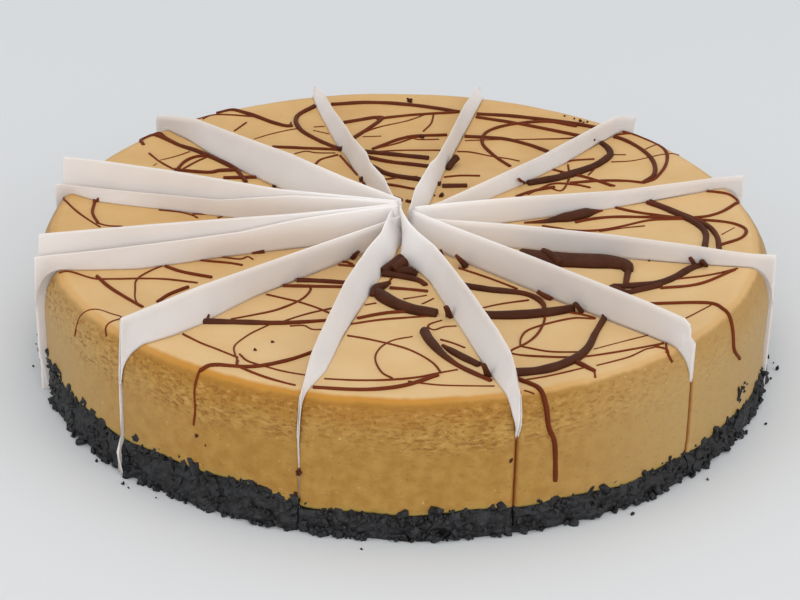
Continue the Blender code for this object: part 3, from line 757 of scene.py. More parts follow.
# %% Routes of the fine threads
THREADS = {
    1: [
        (1, (48.2, 8.3), (53.8, 6.3), (58, 4.6), (67.3, 4.4), (76.1, 7.4), (86.5, 11.9), (98, 12.1)),
        (0.5, (115, 4), (110, -1)),
        (0.6, (68, 3.5), (76, 6), (84, 7.5)),
    ],
    2: [
        (0.9, (58, 60), (62, 62.5), (70, 63.5)),
        (0.8, (60, 59), (60, 50), (58.5, 42), (56, 37), (52, 40)),
        (1, (54, 55), (60, 51.5), (66, 48.5), (71, 44), (76, 40.5)),
        (1, (44, 34), (48, 38), (54, 43), (62, 42), (67, 39.5)),
        (0.8, (76, 67), (82, 66.5)),
        (0.7, (67, 50), (70, 56)),
        (1.4, (43, 43.4, 0.2), (42, 41.6, 1.6), (41, 40, 3.2)),
        (1.4, (72, 80, 0.2), (71, 77, 1.4), (70.4, 75, 2.4)),
        (1, (78.4, 87), (79.4, 88.6)),
        (1.3, (79.6, 87.6), (85.4, 85.4), (90, 81), (95, 75), (97.4, 67), (95.8, 56.2), (91.3, 46.2),
         (87.7, 43)),
        (1.1, (76, 83), (81.4, 84.4), (85.8, 85.2)),
        (0.7, (76.3, 60.7), (84.7, 61.5), (95, 65.9), (102.1, 67.2)),
        (0.7, (89.3, 70.6), (95.4, 76)),
    ],
    3: [
        (0.8, (18, 70), (24, 69.5), (32, 66), (38, 64), (42, 62)),
        (1, (14, 48), (20, 49.5), (27, 49.5)),
        (0.7, (64, 85.5), (63, 82), (50, 81), (35, 80.5), (22, 79.5)),
    ],
    4: [
        (0.8, (-20, 81), (-12, 89), (0, 96), (8, 103)),
        (0.8, (-12, 71), (-4, 76), (2, 81), (5, 82)),
        (0.8, (-15, 67.4), (-5.4, 69.7), (5, 70.6), (12.2, 70.8), (18, 70)),
        (0.9, (-8, 45), (-2, 47), (4, 48)),
        (1.3, (-8, 41), (-4, 40), (0, 38.5), (3, 37.5)),
        (0.8, (10, 102), (9, 94), (6, 87)),
        (0.8, (6, 80), (5, 84)),
        (0.6, (-17, 81), (-10, 82)),
        (0.6, (0, 83), (4, 80), (12, 80.5)),
        ((1.2, 2), (-4.8, 31), (-1.8, 27.6)),
        (1.6, (0.2, 27.4), (1.8, 26.6)),
    ],
    5: [
        (0.8, (-66, 81), (-62, 89)),
        (0.6, (-58, 75), (-52, 80), (-46, 84), (-42, 86)),
        (0.8, (-42, 64), (-38, 66.5), (-34, 65.5), (-27, 66)),
        (1.1, (-34, 55.5), (-32, 60), (-26, 64.5)),
        (1, (-25, 64), (-22, 57), (-18, 48)),
        (1.1, (-23.4, 67.6), (-22.6, 64.6)),
        (1.1, (-17, 45), (-15, 40)),
        (0.5, (-36, 88), (-32, 89)),
        (0.5, (-36, 85), (-30, 82.5)),
        (0.8, (-45, 91), (-45, 88)),
        (0.9, (-81.4, 90.5), (-77.5, 93.8), (-68.9, 94.8), (-60.1, 94.5)),
        (0.8, (-78.8, 89.8), (-76.2, 94.6)),
    ],
    6: [
        (0.9, (-81.9, 46.3), (-77.8, 52.9), (-74, 57.8)),
        (1, (-95.7, 57.1), (-91.2, 50.8), (-85.5, 45.2)),
        (0.6, (-91, 52), (-86, 56), (-81, 61)),
        (0.5, (-93, 47), (-92, 49)),
    ],
    7: [
        (0.8, (-122, 30), (-122.5, 20), (-119.5, 12), (-115, 5), (-110.5, -0.5), (-105.5, -6)),
        (0.9, (-107, -3), (-103, -4.5), (-98, -4.3)),
        (0.8, (-87, 11), (-80, 10.5), (-75, 8.5), (-73, 6.5)),
        (0.8, (-75, 9.5), (-70, 10)),
        (0.7, (-66, 7.5), (-63.5, 10)),
        (1.1, (-109.4, 14, 0.3), (-108.4, 15.6, 1.6), (-107.8, 17, 3)),
    ],
    8: [
        (0.8, (-114.2, -42.1), (-110, -42.1), (-102.5, -45.7), (-96.7, -45.2), (-86.7, -43.2),
         (-78.3, -42.5), (-68.3, -43.8)),
        ((0.8, 0.5), (-80.4, -31.7), (-85, -37.5), (-88.3, -44.2), (-87.9, -51.7), (-87.1, -58.3),
         (-85.4, -62.9)),
        (0.9, (-70.8, -26.3), (-65.8, -26.8), (-59.2, -27.3), (-54.6, -28.5)),
        (0.7, (-62.5, -22.9), (-55.8, -23.9), (-53.3, -21.7), (-51.3, -23.8)),
        (0.7, (-109.6, -73), (-106.9, -70.8), (-103.5, -68.5), (-98.3, -68.3), (-93.3, -70.8),
         (-89.6, -73.2), (-93.8, -77.9), (-94, -82)),
    ],
    9: [
        (1.2, (-24.2, -25), (-16.3, -26)),
        ((2.4, 2), (-17.4, -19.9, 0), (-16.7, -20.3, 1.4), (-15.6, -20.8, 2.7)),
        ((1.5, 1.4), (-14.4, -19, 0), (-13.6, -19.4, 1), (-12.9, -19.8, 1.9)),
        (1.1, (-24.3, -24.6), (-20.1, -22.9), (-17.6, -24.6)),
        (0.9, (-45, -50), (-40, -52.1), (-34.2, -54.6), (-28.3, -58.3), (-23.8, -62.1)),
        (0.9, (-31.7, -41.7), (-30.8, -45), (-32.5, -50.8), (-35.8, -55.8), (-41.7, -61.7),
         (-48.3, -65.8), (-55, -69.6)),
        ((0.9, 0.6), (-22.1, -57.9), (-26.7, -60.4), (-32.5, -64.2), (-38.3, -69.2)),
        (0.6, (-36, -72.5), (-31.7, -71.7), (-29, -74.2), (-25.8, -74.2)),
        (0.6, (-42.9, -72.5), (-47.5, -78.3), (-50.8, -84.2), (-52.5, -89.2), (-51.7, -95),
         (-50.4, -99.2)),
        (0.8, (-69.2, -82.1), (-63.3, -87.5), (-57.5, -91.7), (-50.8, -96.7)),
        (0.8, (-61.7, -105), (-64.5, -111), (-66.5, -116.5), (-69.9, -121.1)),
        (0.7, (-50.4, -94.2), (-47.5, -98.8), (-41.7, -102.1), (-35.8, -105), (-28.8, -107.1)),
        (0.9, (-50.8, -98.3), (-50.4, -102.1), (-47.5, -105), (-41.7, -109.2), (-35.8, -112.5),
         (-32.1, -114.2)),
        (1.5, (-63, -72.4, 0.3), (-62.4, -70.6, 1.6)),
    ],
    10: [
        (0.8, (9.8, -49.2), (8.1, -51.3), (6, -53.5)),
        (0.8, (0, -50), (7.5, -47)),
        (0.7, (-13.5, -55.5), (-9, -53.5)),
        (0.9, (-16.5, -69.5), (-8, -66), (0, -64), (8, -62.5)),
        ((0.9, 0.8), (-17.5, -78), (-10, -80.5), (0, -85.5), (6, -91), (10, -97), (12, -103)),
        (0.7, (3, -77.5), (-3, -80.5), (-6.5, -85), (-8.3, -91), (-8, -97), (-6, -103.5), (-3, -107)),
        (0.8, (-23.5, -109), (-14, -109.3), (-4, -108.3), (5, -106), (11, -103), (17, -100.5)),
        (0.7, (2, -109), (10, -111), (18, -111.5), (28, -111.5)),
        (1, (12, -79.5), (16, -82), (19.5, -85)),
        (0.8, (12.4, -65.3), (9, -67.8), (7.9, -69.8), (8.7, -71.7), (10.2, -72.4), (13, -70.2),
         (17, -69.4)),
        ((2.6, 2.2), (14.7, -63, 0), (14.3, -63.4, 2), (13.6, -64, 4)),
        ((2.8, 2.4), (26, -104.6, 0), (25.4, -105, 2), (24.6, -105.4, 4)),
        (0.8, (-5, -36.8), (-3.9, -33.4)),
    ],
    11: [
        ((1.5, 1.3), (12.7, -16.1, 0), (12.4, -16.4, 1.2), (12.2, -16.8, 2.4)),
        ((3.4, 1.4), (20.4, -24, 0), (18.8, -23.8, 2), (17.2, -23.4, 3.8)),
        (0.9, (18.5, -25.5), (26, -31), (32, -36), (37.5, -41)),
        (0.8, (46, -60), (45, -67), (42.5, -75), (39, -81), (34, -86.5), (35, -89), (43, -90.5),
         (55, -91), (66, -88), (78, -83.5), (82, -82)),
        (1.8, (48.4, -49, 0), (47.2, -48.2, 0.3), (45.4, -47.6, 1), (44, -47, 1.8)),
        ((2.6, 2.4), (57.4, -58.6, 0), (56.4, -58.8, 1.6), (55.4, -59, 3)),
        (2, (64.8, -62.6, 0.4), (65.2, -61.4, 1.6)),
        (0.8, (23.5, -57), (32, -52.5), (41, -49.5)),
        ((1, 0.6), (52, -58), (58, -60.5), (62, -63.5), (55, -63), (47, -66.5), (40, -71.5),
         (37.5, -77), (37, -82)),
        (0.7, (37.5, -83.5), (46, -87), (55, -87.5)),
        (0.5, (60, -85.5), (68, -81), (77.5, -76)),
        (0.6, (60, -97), (70, -91.5), (76, -86), (79, -84.5), (82.5, -80.5)),
        (0.8, (79, -84), (82.5, -86), (83, -89), (84.5, -91)),
        (0.8, (83, -78), (82.5, -88)),
        (0.6, (36, -107.5), (45, -104), (56, -98.5)),
        (0.6, (37, -114), (40, -115)),
        (0.7, (59, -101), (59, -105)),
    ],
    12: [
        (0.9, (75, -37.5), (84, -36.5), (92, -34.5), (100, -33), (107, -30.5), (112, -28)),
        (0.5, (91, -64), (100, -55)),
        ((2.2, 2), (98, -25.1, 0), (97.1, -25, 1.4), (96.2, -25, 2.8)),
        ((2.6, 2.4), (101.4, -25.3, 0), (100.8, -26, 1.1), (100.2, -26.6, 2.2)),
    ],
}
print("fine threads:", sum(len(strands) for strands in THREADS.values()))

# %% [markdown]
# The three finishes that are left share a recipe: two tones in soft patches, and a fine relief
# that catches the light. One function makes both, and each material adds what is its own.

# %% Two tones and a fine relief
def patchy_finish(material, patch, tones, relief, rise):
    """The colour, the pattern of the relief and the normal of a finish in soft patches.

    patch is a grain in millimetres, a detail, and where the second tone starts and is full;
    relief is a grain and a detail; rise is the bump's strength and its height in millimetres.
    """
    whole = add(material, "TexCoord", "Object")
    found = []
    for grain, detail in (patch[:2], relief):
        sockets = {"Vector": whole, "Scale": 1 / (grain * MM), "Detail": detail}
        found.append(add(material, "TexNoise", "Fac", None, sockets))
    span = {"Value": found[0], "From Min": patch[2], "From Max": patch[3]}
    drift = add(material, "MapRange", "Result", None, span)
    pair = {MIX_AMOUNT: drift, MIX_UNDER: linear(tones[0]), MIX_OVER: linear(tones[1])}
    colour = add(material, "Mix", MIX_RESULT, COLOUR_MIX, pair)
    bump = {"Strength": rise[0], "Distance": rise[1] * MM, "Height": found[1]}
    return colour, found[1], add(material, "Bump", "Normal", None, bump)


# %% [markdown]
# Dark chocolate that has set is smooth, with a dull satin gloss, and bloom clouds it in patches of
# about 5 mm. Where a thread is thin the caramel shows through it and warms it to a red brown, so
# each strand stores how thin it is, and the colour follows that.

# %% Set dark chocolate
chocolate, chocolate_shader = new_material(
    "set_dark_chocolate", {"Roughness": 0.5, "IOR": 1.45, "Specular IOR Level": 0.16}
)
dark, _, normal = patchy_finish(
    chocolate, (5, 2, 0.3, 0.7), ("3F1D0B", "4B2613"), (1.5, 2), (0.2, 0.2)
)
thin_mask = add(chocolate, "Attribute", "Fac", {"attribute_name": "thin"})
warmed = {MIX_AMOUNT: thin_mask, MIX_UNDER: dark, MIX_OVER: linear("6E2A02")}
colour = add(chocolate, "Mix", MIX_RESULT, COLOUR_MIX, warmed)
set_sockets(chocolate, chocolate_shader, {"Base Color": colour, "Normal": normal})
print("chocolate nodes:", len(chocolate.node_tree.nodes))

# %% [markdown]
# A strand lies on the skin of the cake. Its route is drawn on the flat, folded-out top, so the
# first step is a function that puts a flat place on the skin: over the top it goes straight up,
# and past the edge of the top it follows the shoulder and the side down.

# %% The skin that the chocolate lies on
SKIN_ROWS = 24
NORMAL_STEP = 0.4 * MM


def skin_table():
    """(distance along the profile, radius, height) from the edge of the top down the side."""
    side = [[CAKE_RADIUS, SIDE_TOP], [CAKE_RADIUS, CRUST_HEIGHT]]
    rows = np.vstack([shoulder_curve(SKIN_ROWS)[::-1], side])
    steps = np.hypot(*np.diff(rows, axis=0).T)
    travel = rows[0, 0] + np.concatenate([[0], np.cumsum(steps)])
    return np.column_stack([travel, rows])


SKIN = skin_table()


def on_skin(places):
    """Points of the cake's skin for (x, y) places on the folded-out top."""
    reach = np.hypot(places[:, 0], places[:, 1])
    angle = np.arctan2(places[:, 1], places[:, 0])
    radius = np.where(reach < SKIN[0, 0], reach, np.interp(reach, SKIN[:, 0], SKIN[:, 1]))
    side = np.interp(reach, SKIN[:, 0], SKIN[:, 2])
    height = np.where(reach < SKIN[0, 0], top_height(reach), side)
    return from_polar(radius, angle, height)


def skin_normals(places):
    """Directions straight out of the skin, from places a small step to each side."""
    shift_x, shift_y = np.array([NORMAL_STEP, 0]), np.array([0, NORMAL_STEP])
    along_x = on_skin(places + shift_x) - on_skin(places - shift_x)
    along_y = on_skin(places + shift_y) - on_skin(places - shift_y)
    normals = np.cross(along_x, along_y)
    return normals / np.linalg.norm(normals, axis=1, keepdims=True)


print("the skin runs", round((SKIN[-1, 0] - SKIN[0, 0]) / MM), "mm from the top's edge down the side")

# %% [markdown]
# A poured line has no corners, so a smooth curve is led through the points of each route. The
# knife and the parchment broke every strand that crossed a cut, and only the longest stretch that
# stays between the papers is kept. A strand that stands up off the cake keeps its whole route.

# %% Smooth a route and end it at the papers
CURVE_STEPS = 20
SWEEP_STEP = 1.0 * MM
PAPER_CLEARANCE = 0.25 * MM
WIDTH_CLEARANCE = 0.3


def smooth_route(widths, points):
    """Rows of (x, y, lift, width) in metres at even steps of a smooth curve through the points."""
    if not isinstance(widths, tuple):
        widths = (widths,)
    spread = np.interp(np.linspace(0, 1, len(points)), np.linspace(0, 1, len(widths)), widths)
    knots = np.array([(*point, 0.0)[:3] for point in points], float)
    knots = np.column_stack([knots, spread]) * MM
    padded = np.vstack([2 * knots[0] - knots[1], knots, 2 * knots[-1] - knots[-2]])
    rows = []
    for a, b, c, d in zip(padded, padded[1:], padded[2:], padded[3:]):
        for t in np.linspace(0, 1, CURVE_STEPS, endpoint=False):
            cubic = 2 * b + (c - a) * t + (2 * a - 5 * b + 4 * c - d) * t**2
            rows.append((cubic + (3 * b - a - 3 * c + d) * t**3) / 2)
    rows = np.array(rows + [knots[-1]])
    travel = np.concatenate([[0], np.cumsum(np.hypot(*np.diff(rows[:, :2], axis=0).T))])
    even = np.linspace(0, travel[-1], max(4, round(travel[-1] / SWEEP_STEP) + 1))
    return np.column_stack([np.interp(even, travel, rows[:, i]) for i in range(4)])


def clear_of_papers(number, rows):
    """The longest stretch of a route that stays between the papers on its two sides."""
    best, current = [], []
    for row in rows:
        radius = math.hypot(row[0], row[1])
        angle = math.atan2(row[1], row[0])
        space = cut_distance(number, radius, angle)
        current = current + [row] if space > PAPER_CLEARANCE + WIDTH_CLEARANCE * row[3] else []
        best = current if len(current) > len(best) else best
    return np.array(best)


print("a route of 10 mm has", len(smooth_route(1, ((0, 0), (10, 0)))), "places")

# %% [markdown]
# A rounded section is swept along the route: an arch over the skin and two corners just under it,
# so that no gap shows. The width wavers a little as it does in a poured line, and both ends close
# in small steps, which rounds them off.

# %% Sweep one strand
ROPE_ROOT = 0.45 * MM
CROWN_LIMIT = 2.6 * MM
ROPE_WIDTH = 2.6 * MM
THREAD_WIDTH = 0.9 * MM
WIDTH_WAVER = 0.13
WAVER_CELL = 6 * MM
SECTION_TURNS = np.linspace(0, math.pi, 8)
ARCH_POWER = 0.8
ROOT_SPREAD = 0.4
END_ROUNDS = ((0.0, 1.0), (0.07, 0.93), (0.12, 0.8))


def sweep_strand(rows, tallness, seed):
    """Points and faces of one strand with rounded ends, and how thin it is at each point."""
    places, lifts, widths = rows[:, :2], rows[:, 2], rows[:, 3]
    centres = on_skin(places)
    normals = skin_normals(places)
    ahead = np.gradient(centres + normals * lifts[:, None], axis=0)
    ahead /= np.linalg.norm(ahead, axis=1, keepdims=True)
    sideways = np.cross(normals, ahead)
    sideways /= np.linalg.norm(sideways, axis=1, keepdims=True)
    upward = np.cross(ahead, sideways)
    widths = widths * (1 + WIDTH_WAVER * noise_at(centres, WAVER_CELL, seed))
    sections, width_list = [], []
    last = len(rows) - 1
    order = [(0, -out, scale) for out, scale in END_ROUNDS[:0:-1]]
    order += [(i, 0.0, 1.0) for i in range(last + 1)]
    order += [(last, out, scale) for out, scale in END_ROUNDS[1:]]
    for i, out, scale in order:
        across = sideways[i] * widths[i] * scale
        crown = min(widths[i] * tallness, CROWN_LIMIT) * (0.5 + 0.5 * scale)
        centre = centres[i] + ahead[i] * out * widths[i] + normals[i] * lifts[i]
        root = ROPE_ROOT if lifts[i] < ROPE_ROOT else 0.25 * crown
        ring = [
            centre + across * 0.5 * np.cos(t) + upward[i] * crown * np.sin(t) ** ARCH_POWER
            for t in SECTION_TURNS
        ]
        ring += [centre + side * ROOT_SPREAD * across - upward[i] * root for side in (-1, 1)]
        sections.append(ring)
        width_list.append(widths[i])
    count = len(sections[0])
    faces = grid_faces(len(sections), count, closed=True)
    faces += [list(range(count)), list(range((len(sections) - 1) * count, len(sections) * count))]
    thin = 1 - smooth_step(np.repeat(width_list, count), THREAD_WIDTH, ROPE_WIDTH)
    return np.array(sections).reshape(-1, 3), faces, thin


trial = sweep_strand(smooth_route(1, ((0, 0), (10, 0))), 0.5, 0.0)
print("a thread of 10 mm has", len(trial[1]), "faces")

# %% [markdown]
# All strands of a slice become one mesh. Both that mesh and the bare custard of the slice take the
# place of the slice's one solid, in which its thick drizzle is fused to the cake.

# %% Drizzle of each slice
ROPE_TALLNESS = 0.6
THREAD_TALLNESS = 0.5
FEWEST_PLACES = 3


def make_drizzle(number):
    """All ropes and threads of one slice as one mesh."""
    points, faces, thin, start = [], [], [], 0
    for strands, tallness in ((ROPES, ROPE_TALLNESS), (THREADS, THREAD_TALLNESS)):
        for count, (widths, *route) in enumerate(strands[number]):
            rows = smooth_route(widths, route)
            if rows[:, 2].max() == 0:
                rows = clear_of_papers(number, rows)
            if len(rows) < FEWEST_PLACES:
                print("left out a strand of slice", number, route[0])
                continue
            new_points, new_faces, new_thin = sweep_strand(rows, tallness, number + 0.37 * count)
            points.append(new_points)
            faces += [[corner + start for corner in face] for face in new_faces]
            thin.append(new_thin)
            start += len(new_points)
    piece = mesh_object(
        f"slice_{number:02d}_drizzle",
        np.vstack(points),
        faces,
        chocolate,
        {"thin": np.concatenate(thin)},
    )
    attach(piece, "root")
    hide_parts(f"slice_{number:02d}_cheesecake")
    return piece


drizzle = [make_drizzle(number) for number in SLICES]
print("drizzle:", sum(len(d.data.polygons) for d in drizzle), "faces")

# %% [markdown]
# The crust is dark chocolate cookie, crushed and pressed into the pan with butter. It is nearly
# black and dull, with a cool grey sheen where a crumb faces the light. That sheen is painted into
# the colour: its patches of 3.5 mm and its pale specks are painted highlights. The finest grit of
# crushed cookie is about 0.2 mm, too fine for the render, so it is drawn at 0.7 mm.

# %% Pressed dark cookie crumb
GLINT_SHARE = 0.45
crumb_paint, crumb_shader = new_material(
    "pressed_dark_cookie_crumb", {"Roughness": 0.55, "IOR": 1.45, "Specular IOR Level": 0.45}
)
dark, grit, normal = patchy_finish(
    crumb_paint, (3.5, 3, 0.38, 0.66), ("0F0D0D", "222326"), (0.7, 2), (0.7, 0.3)
)
# Painted sheen: pale specks where the grit pattern is high stand for glints of light.
span = {"Value": grit, "From Min": 0.6, "From Max": 0.74, "To Max": GLINT_SHARE}
painted_glints = add(crumb_paint, "MapRange", "Result", None, span)
with_glints = {MIX_AMOUNT: painted_glints, MIX_UNDER: dark, MIX_OVER: linear("4A4C52")}
colour = add(crumb_paint, "Mix", MIX_RESULT, COLOUR_MIX, with_glints)
set_sockets(crumb_paint, crumb_shader, {"Base Color": colour, "Normal": normal})
print("crumb nodes:", len(crumb_paint.node_tree.nodes))

# %% [markdown]
# Each slice stands on its own piece of crust, a wedge that runs in to the middle. The pan's ring
# broke its wall into crags, so the wall is a fine grid pushed in and out by noise of three grains,
# it spreads a little at the foot, and its upper lip wanders up and down. On the left, behind a
# paper that hangs down the side, the wall is pressed in tighter. Faces stay flat, as crumb does.

# %% Crust of each slice
WALL_RADIUS = 127.9 * MM
WALL_STEP = 0.7 * MM
WALL_TUCK = 1.2 * MM
CRAG_CELLS = ((6.5 * MM, 1.0 * MM), (2.6 * MM, 0.9 * MM), (1.3 * MM, 0.5 * MM))
CRAG_RANGE = (-1.6 * MM, 1.1 * MM)
FOOT_SPREAD = 0.9 * MM
FOOT_CELL = 8 * MM
LIP_CELL = 3.2 * MM
LIP_WAVE = 0.9 * MM
TIGHT_LEFT = (191, 0.97, 0.995)
TIGHTER = 1.6 * MM
FLOOR_RADII = (TIP_RADIUS, 60 * MM, 110 * MM)
ROOF_RADII = (125 * MM, 122 * MM, 112 * MM, 92 * MM, 62 * MM, 30 * MM, TIP_RADIUS)


def wall_reach(angle):
    """The wall's radius, which is smaller on the left."""
    return WALL_RADIUS - TIGHTER * toward(angle, *TIGHT_LEFT)


def make_crust(number):
    """The crust of one slice: floor, craggy wall and roof as one grid."""
    across = slice_columns(number)
    rim_angle = slice_angle(number, across, WALL_RADIUS)
    lip = crust_top(CAKE_RADIUS, rim_angle)
    wall_rows = round(CRUST_HEIGHT / WALL_STEP) + 2
    rows = []
    for radius in FLOOR_RADII:
        rows.append((np.full_like(across, radius), slice_angle(number, across, radius), 0 * across))
    for climb in np.linspace(0, 1, wall_rows):
        tuck = smooth_step(climb, 0.75, 1.0) + 0.6 * (1 - smooth_step(climb, 0.0, 0.12))
        rows.append((wall_reach(rim_angle) - WALL_TUCK * tuck, rim_angle, lip * climb))
    for radius in ROOF_RADII:
        angle = slice_angle(number, across, radius)
        rows.append((np.full_like(across, radius), angle, crust_top(radius, angle)))
    radius, angle, height = [np.array(part) for part in zip(*rows)]
    flat = from_polar(radius, angle, height)
    foot_row = len(FLOOR_RADII)
    lip_row = foot_row + wall_rows - 1
    on_wall = np.zeros(radius.shape)
    on_wall[foot_row] = 0.5
    on_wall[foot_row + 1 : lip_row + 1] = 1.0
    crag = sum(size * noise_at(flat, cell, 31.0 + cell / MM) for cell, size in CRAG_CELLS)
    crag += FOOT_SPREAD * np.clip(1 - height / CRUST_HEIGHT, 0, 1) * noise_at(flat, FOOT_CELL, 53.0)
    crag -= EDGE_ROUND * np.clip(1 - cut_distance(number, radius, angle) / EDGE_REACH, 0, 1) ** 2
    crag = np.clip(crag, *CRAG_RANGE)
    height[lip_row] += LIP_WAVE * noise_at(flat[lip_row], LIP_CELL, 61.0)
    points = from_polar(radius + crag * on_wall, angle, height)
    faces = wedge_faces(*radius.shape)
    piece = mesh_object(f"slice_{number:02d}_crumb_crust", points, faces, crumb_paint, smooth=False)
    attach(piece, "root")
    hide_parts(f"slice_{number:02d}_crust")
    return piece


crusts = [make_crust(number) for number in SLICES]
print("crust:", sum(len(crust.data.polygons) for crust in crusts), "faces")

# %% [markdown]
# A crumb is a small ball that noise has dented, stretched and turned at random, so no two are
# alike. All crumbs are one mesh, because they are one kind of thing and never move. The draws come
# from one seeded generator, so every run gives the same crumbs.

# %% One mesh of many crumbs
CRUMB_SEED = 7
DENT_DEPTH = 0.9
DENT_CELL = 0.8
DENT_SHIFT = 5.3
STRETCH = (0.55, 1.2)
draw = np.random.default_rng(CRUMB_SEED)


def crumb_template():
    """A ball of 80 faces, to be dented into a crumb."""
    bm = bmesh.new()
    bmesh.ops.create_icosphere(bm, subdivisions=2, radius=1.0)
    points = np.array([vertex.co[:] for vertex in bm.verts])
    faces = [[vertex.index for vertex in face.verts] for face in bm.faces]
    bm.free()
    return points, faces


BALL_POINTS, BALL_FACES = crumb_template()


def random_turn():
    """A random rotation matrix, from three random axes made square to each other."""
    turn, _ = np.linalg.qr(draw.normal(size=(3, 3)))
    return turn


def scatter_crumbs(name, places, sizes, material):
    """One mesh of dented crumbs, one at each place, with its own size, turn and dents."""
    points, faces = [], []
    for count, (place, size) in enumerate(zip(places, sizes)):
        dents = 1 + DENT_DEPTH * noise_at(BALL_POINTS, DENT_CELL, DENT_SHIFT * count)
        shape = BALL_POINTS * dents[:, None] * draw.uniform(*STRETCH, 3)
        points.append(place + (shape @ random_turn()) * size / 2)
        faces += [[corner + count * len(BALL_POINTS) for corner in face] for face in BALL_FACES]
    points = np.vstack(points)
    points[:, 2] = np.maximum(points[:, 2], 0.0)
    piece = mesh_object(name, points, faces, material, smooth=False)
    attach(piece, "root")
    return piece


print("a crumb has", len(BALL_FACES), "faces")

# %% [markdown]
# Crumbs of one to nearly six millimetres are packed on the wall, bite into the custard along its
# lower edge, gather at the foot and lie loose around it. They keep clear of the cuts, so that the
# slices still come apart. A few more stuck to the side at the right, above the crust.

# %% Crumbs of the crust
CUT_MARGIN_DEG = 0.5
SIZE_POWER = 1.7
# How many, and their smallest and largest sizes in millimetres.
CRUMB_KINDS = {
    "wall": (900, 1.3, 4.0),
    "edge": (640, 1.0, 5.6),
    "foot": (420, 1.3, 3.8),
    "loose": (30, 0.7, 2.0),
}
# Direction in degrees, height and size in millimetres.
STRAY_CRUMBS = (
    (330.2, 19.4, 1.8), (330.6, 17.6, 2.2), (331.6, 18.4, 1.6), (330.4, 15.6, 2.0),
    (332.6, 19, 1.4), (331.4, 13.6, 1.6), (333, 15.4, 1.2), (334, 17, 1.1),
)
SIDE_STAND_OFF = 0.1 * MM


def clear_angles(count, margin):
    """Random directions that keep clear of the cuts by a margin in degrees."""
    kept = []
    while len(kept) < count:
        angle = draw.uniform(0, 360)
        gaps = [abs((angle - cut + 180) % 360 - 180) for cut in CUTS_DEG]
        if min(gaps) > margin:
            kept.append(math.radians(angle))
    return np.array(kept)


def crumb_spot(kind, angle, size):
    """Radius and height of each crumb's middle: sunk in by a share of its size, or resting."""
    count, wall, edge = len(size), wall_reach(angle), crust_top(CAKE_RADIUS, angle)
    if kind == "wall":
        radius = wall - 0.22 * size + draw.uniform(-0.3, 0.5, count) * MM
        return radius, draw.uniform(0.12, 0.95, count) * edge
    if kind == "edge":
        return CAKE_RADIUS + 0.2 * MM - 0.3 * size, edge + draw.normal(0.0, 1.0, count) * MM
    if kind == "foot":
        return wall + draw.uniform(-0.8, 0.6, count) * MM, 0.36 * size
    return wall + draw.uniform(1.5, 6.0, count) * MM, 0.34 * size


places, sizes = [], []
for kind, (count, small, large) in CRUMB_KINDS.items():
    angle = clear_angles(count, CUT_MARGIN_DEG)
    size = (small + (large - small) * draw.random(count) ** SIZE_POWER) * MM
    radius, rise = crumb_spot(kind, angle, size)
    places.append(from_polar(radius, angle, rise))
    sizes.append(size)
turn, rise, size = np.array(STRAY_CRUMBS).T
places.append(from_polar(CAKE_RADIUS + SIDE_STAND_OFF, np.radians(turn), rise * MM))
sizes.append(size * MM)
crumbs = scatter_crumbs(
    "crust_crumbs", np.vstack(places), np.concatenate(sizes), crumb_paint
)
print("crumbs:", len(crumbs.data.polygons), "faces")

# %% [markdown]
# The knife also broke a few flecks off the drizzle. They are of chocolate, so they take the
# drizzle's material, and each is listed one by one: on the top by its x and y in millimetres, and on
# the side by its direction in degrees and its height.

# %% Flecks of chocolate
TOP_FLECKS = (
    (12.7, 32.2, 2.0), (11.9, 41.6, 1.9), (10.3, 32.1, 1.1), (20.1, 81.2, 1.0),
    (16.6, 67.8, 1.0), (-48, 35, 1.8), (83, -20.5, 0.9), (61, 101.2, 1.0),
    (64.6, 98.8, 0.8), (66.8, 96.6, 1.2), (68, 95.4, 0.9), (69.4, 95.8, 0.8),
    (-40.9, -84.6, 0.9), (-45.9, -90.8, 0.9), (0.7, 113.2, 2.2), (5.6, 81.9, 1.5),
    (-25, 68.4, 2.6), (-16.2, 43.6, 1.9),
)
SIDE_FLECKS = (
    (240.5, 25.6, 1.9), (241.9, 23, 0.9), (256.1, 21.1, 2.0), (255.6, 13.4, 1.6),
    (285.3, 26.5, 1.3),
)
top_x, top_y, top_size = np.array(TOP_FLECKS).T * MM
top_place = np.column_stack([top_x, top_y, top_height(np.hypot(top_x, top_y)) + 0.2 * top_size])
turn, rise, side_size = np.array(SIDE_FLECKS).T
side_place = from_polar(CAKE_RADIUS + SIDE_STAND_OFF, np.radians(turn), rise * MM)
flecks = scatter_crumbs(
    "chocolate_flecks",
    np.vstack([top_place, side_place]),
    np.concatenate([top_size, side_size * MM]),
    chocolate,
)
print("flecks:", len(TOP_FLECKS) + len(SIDE_FLECKS))
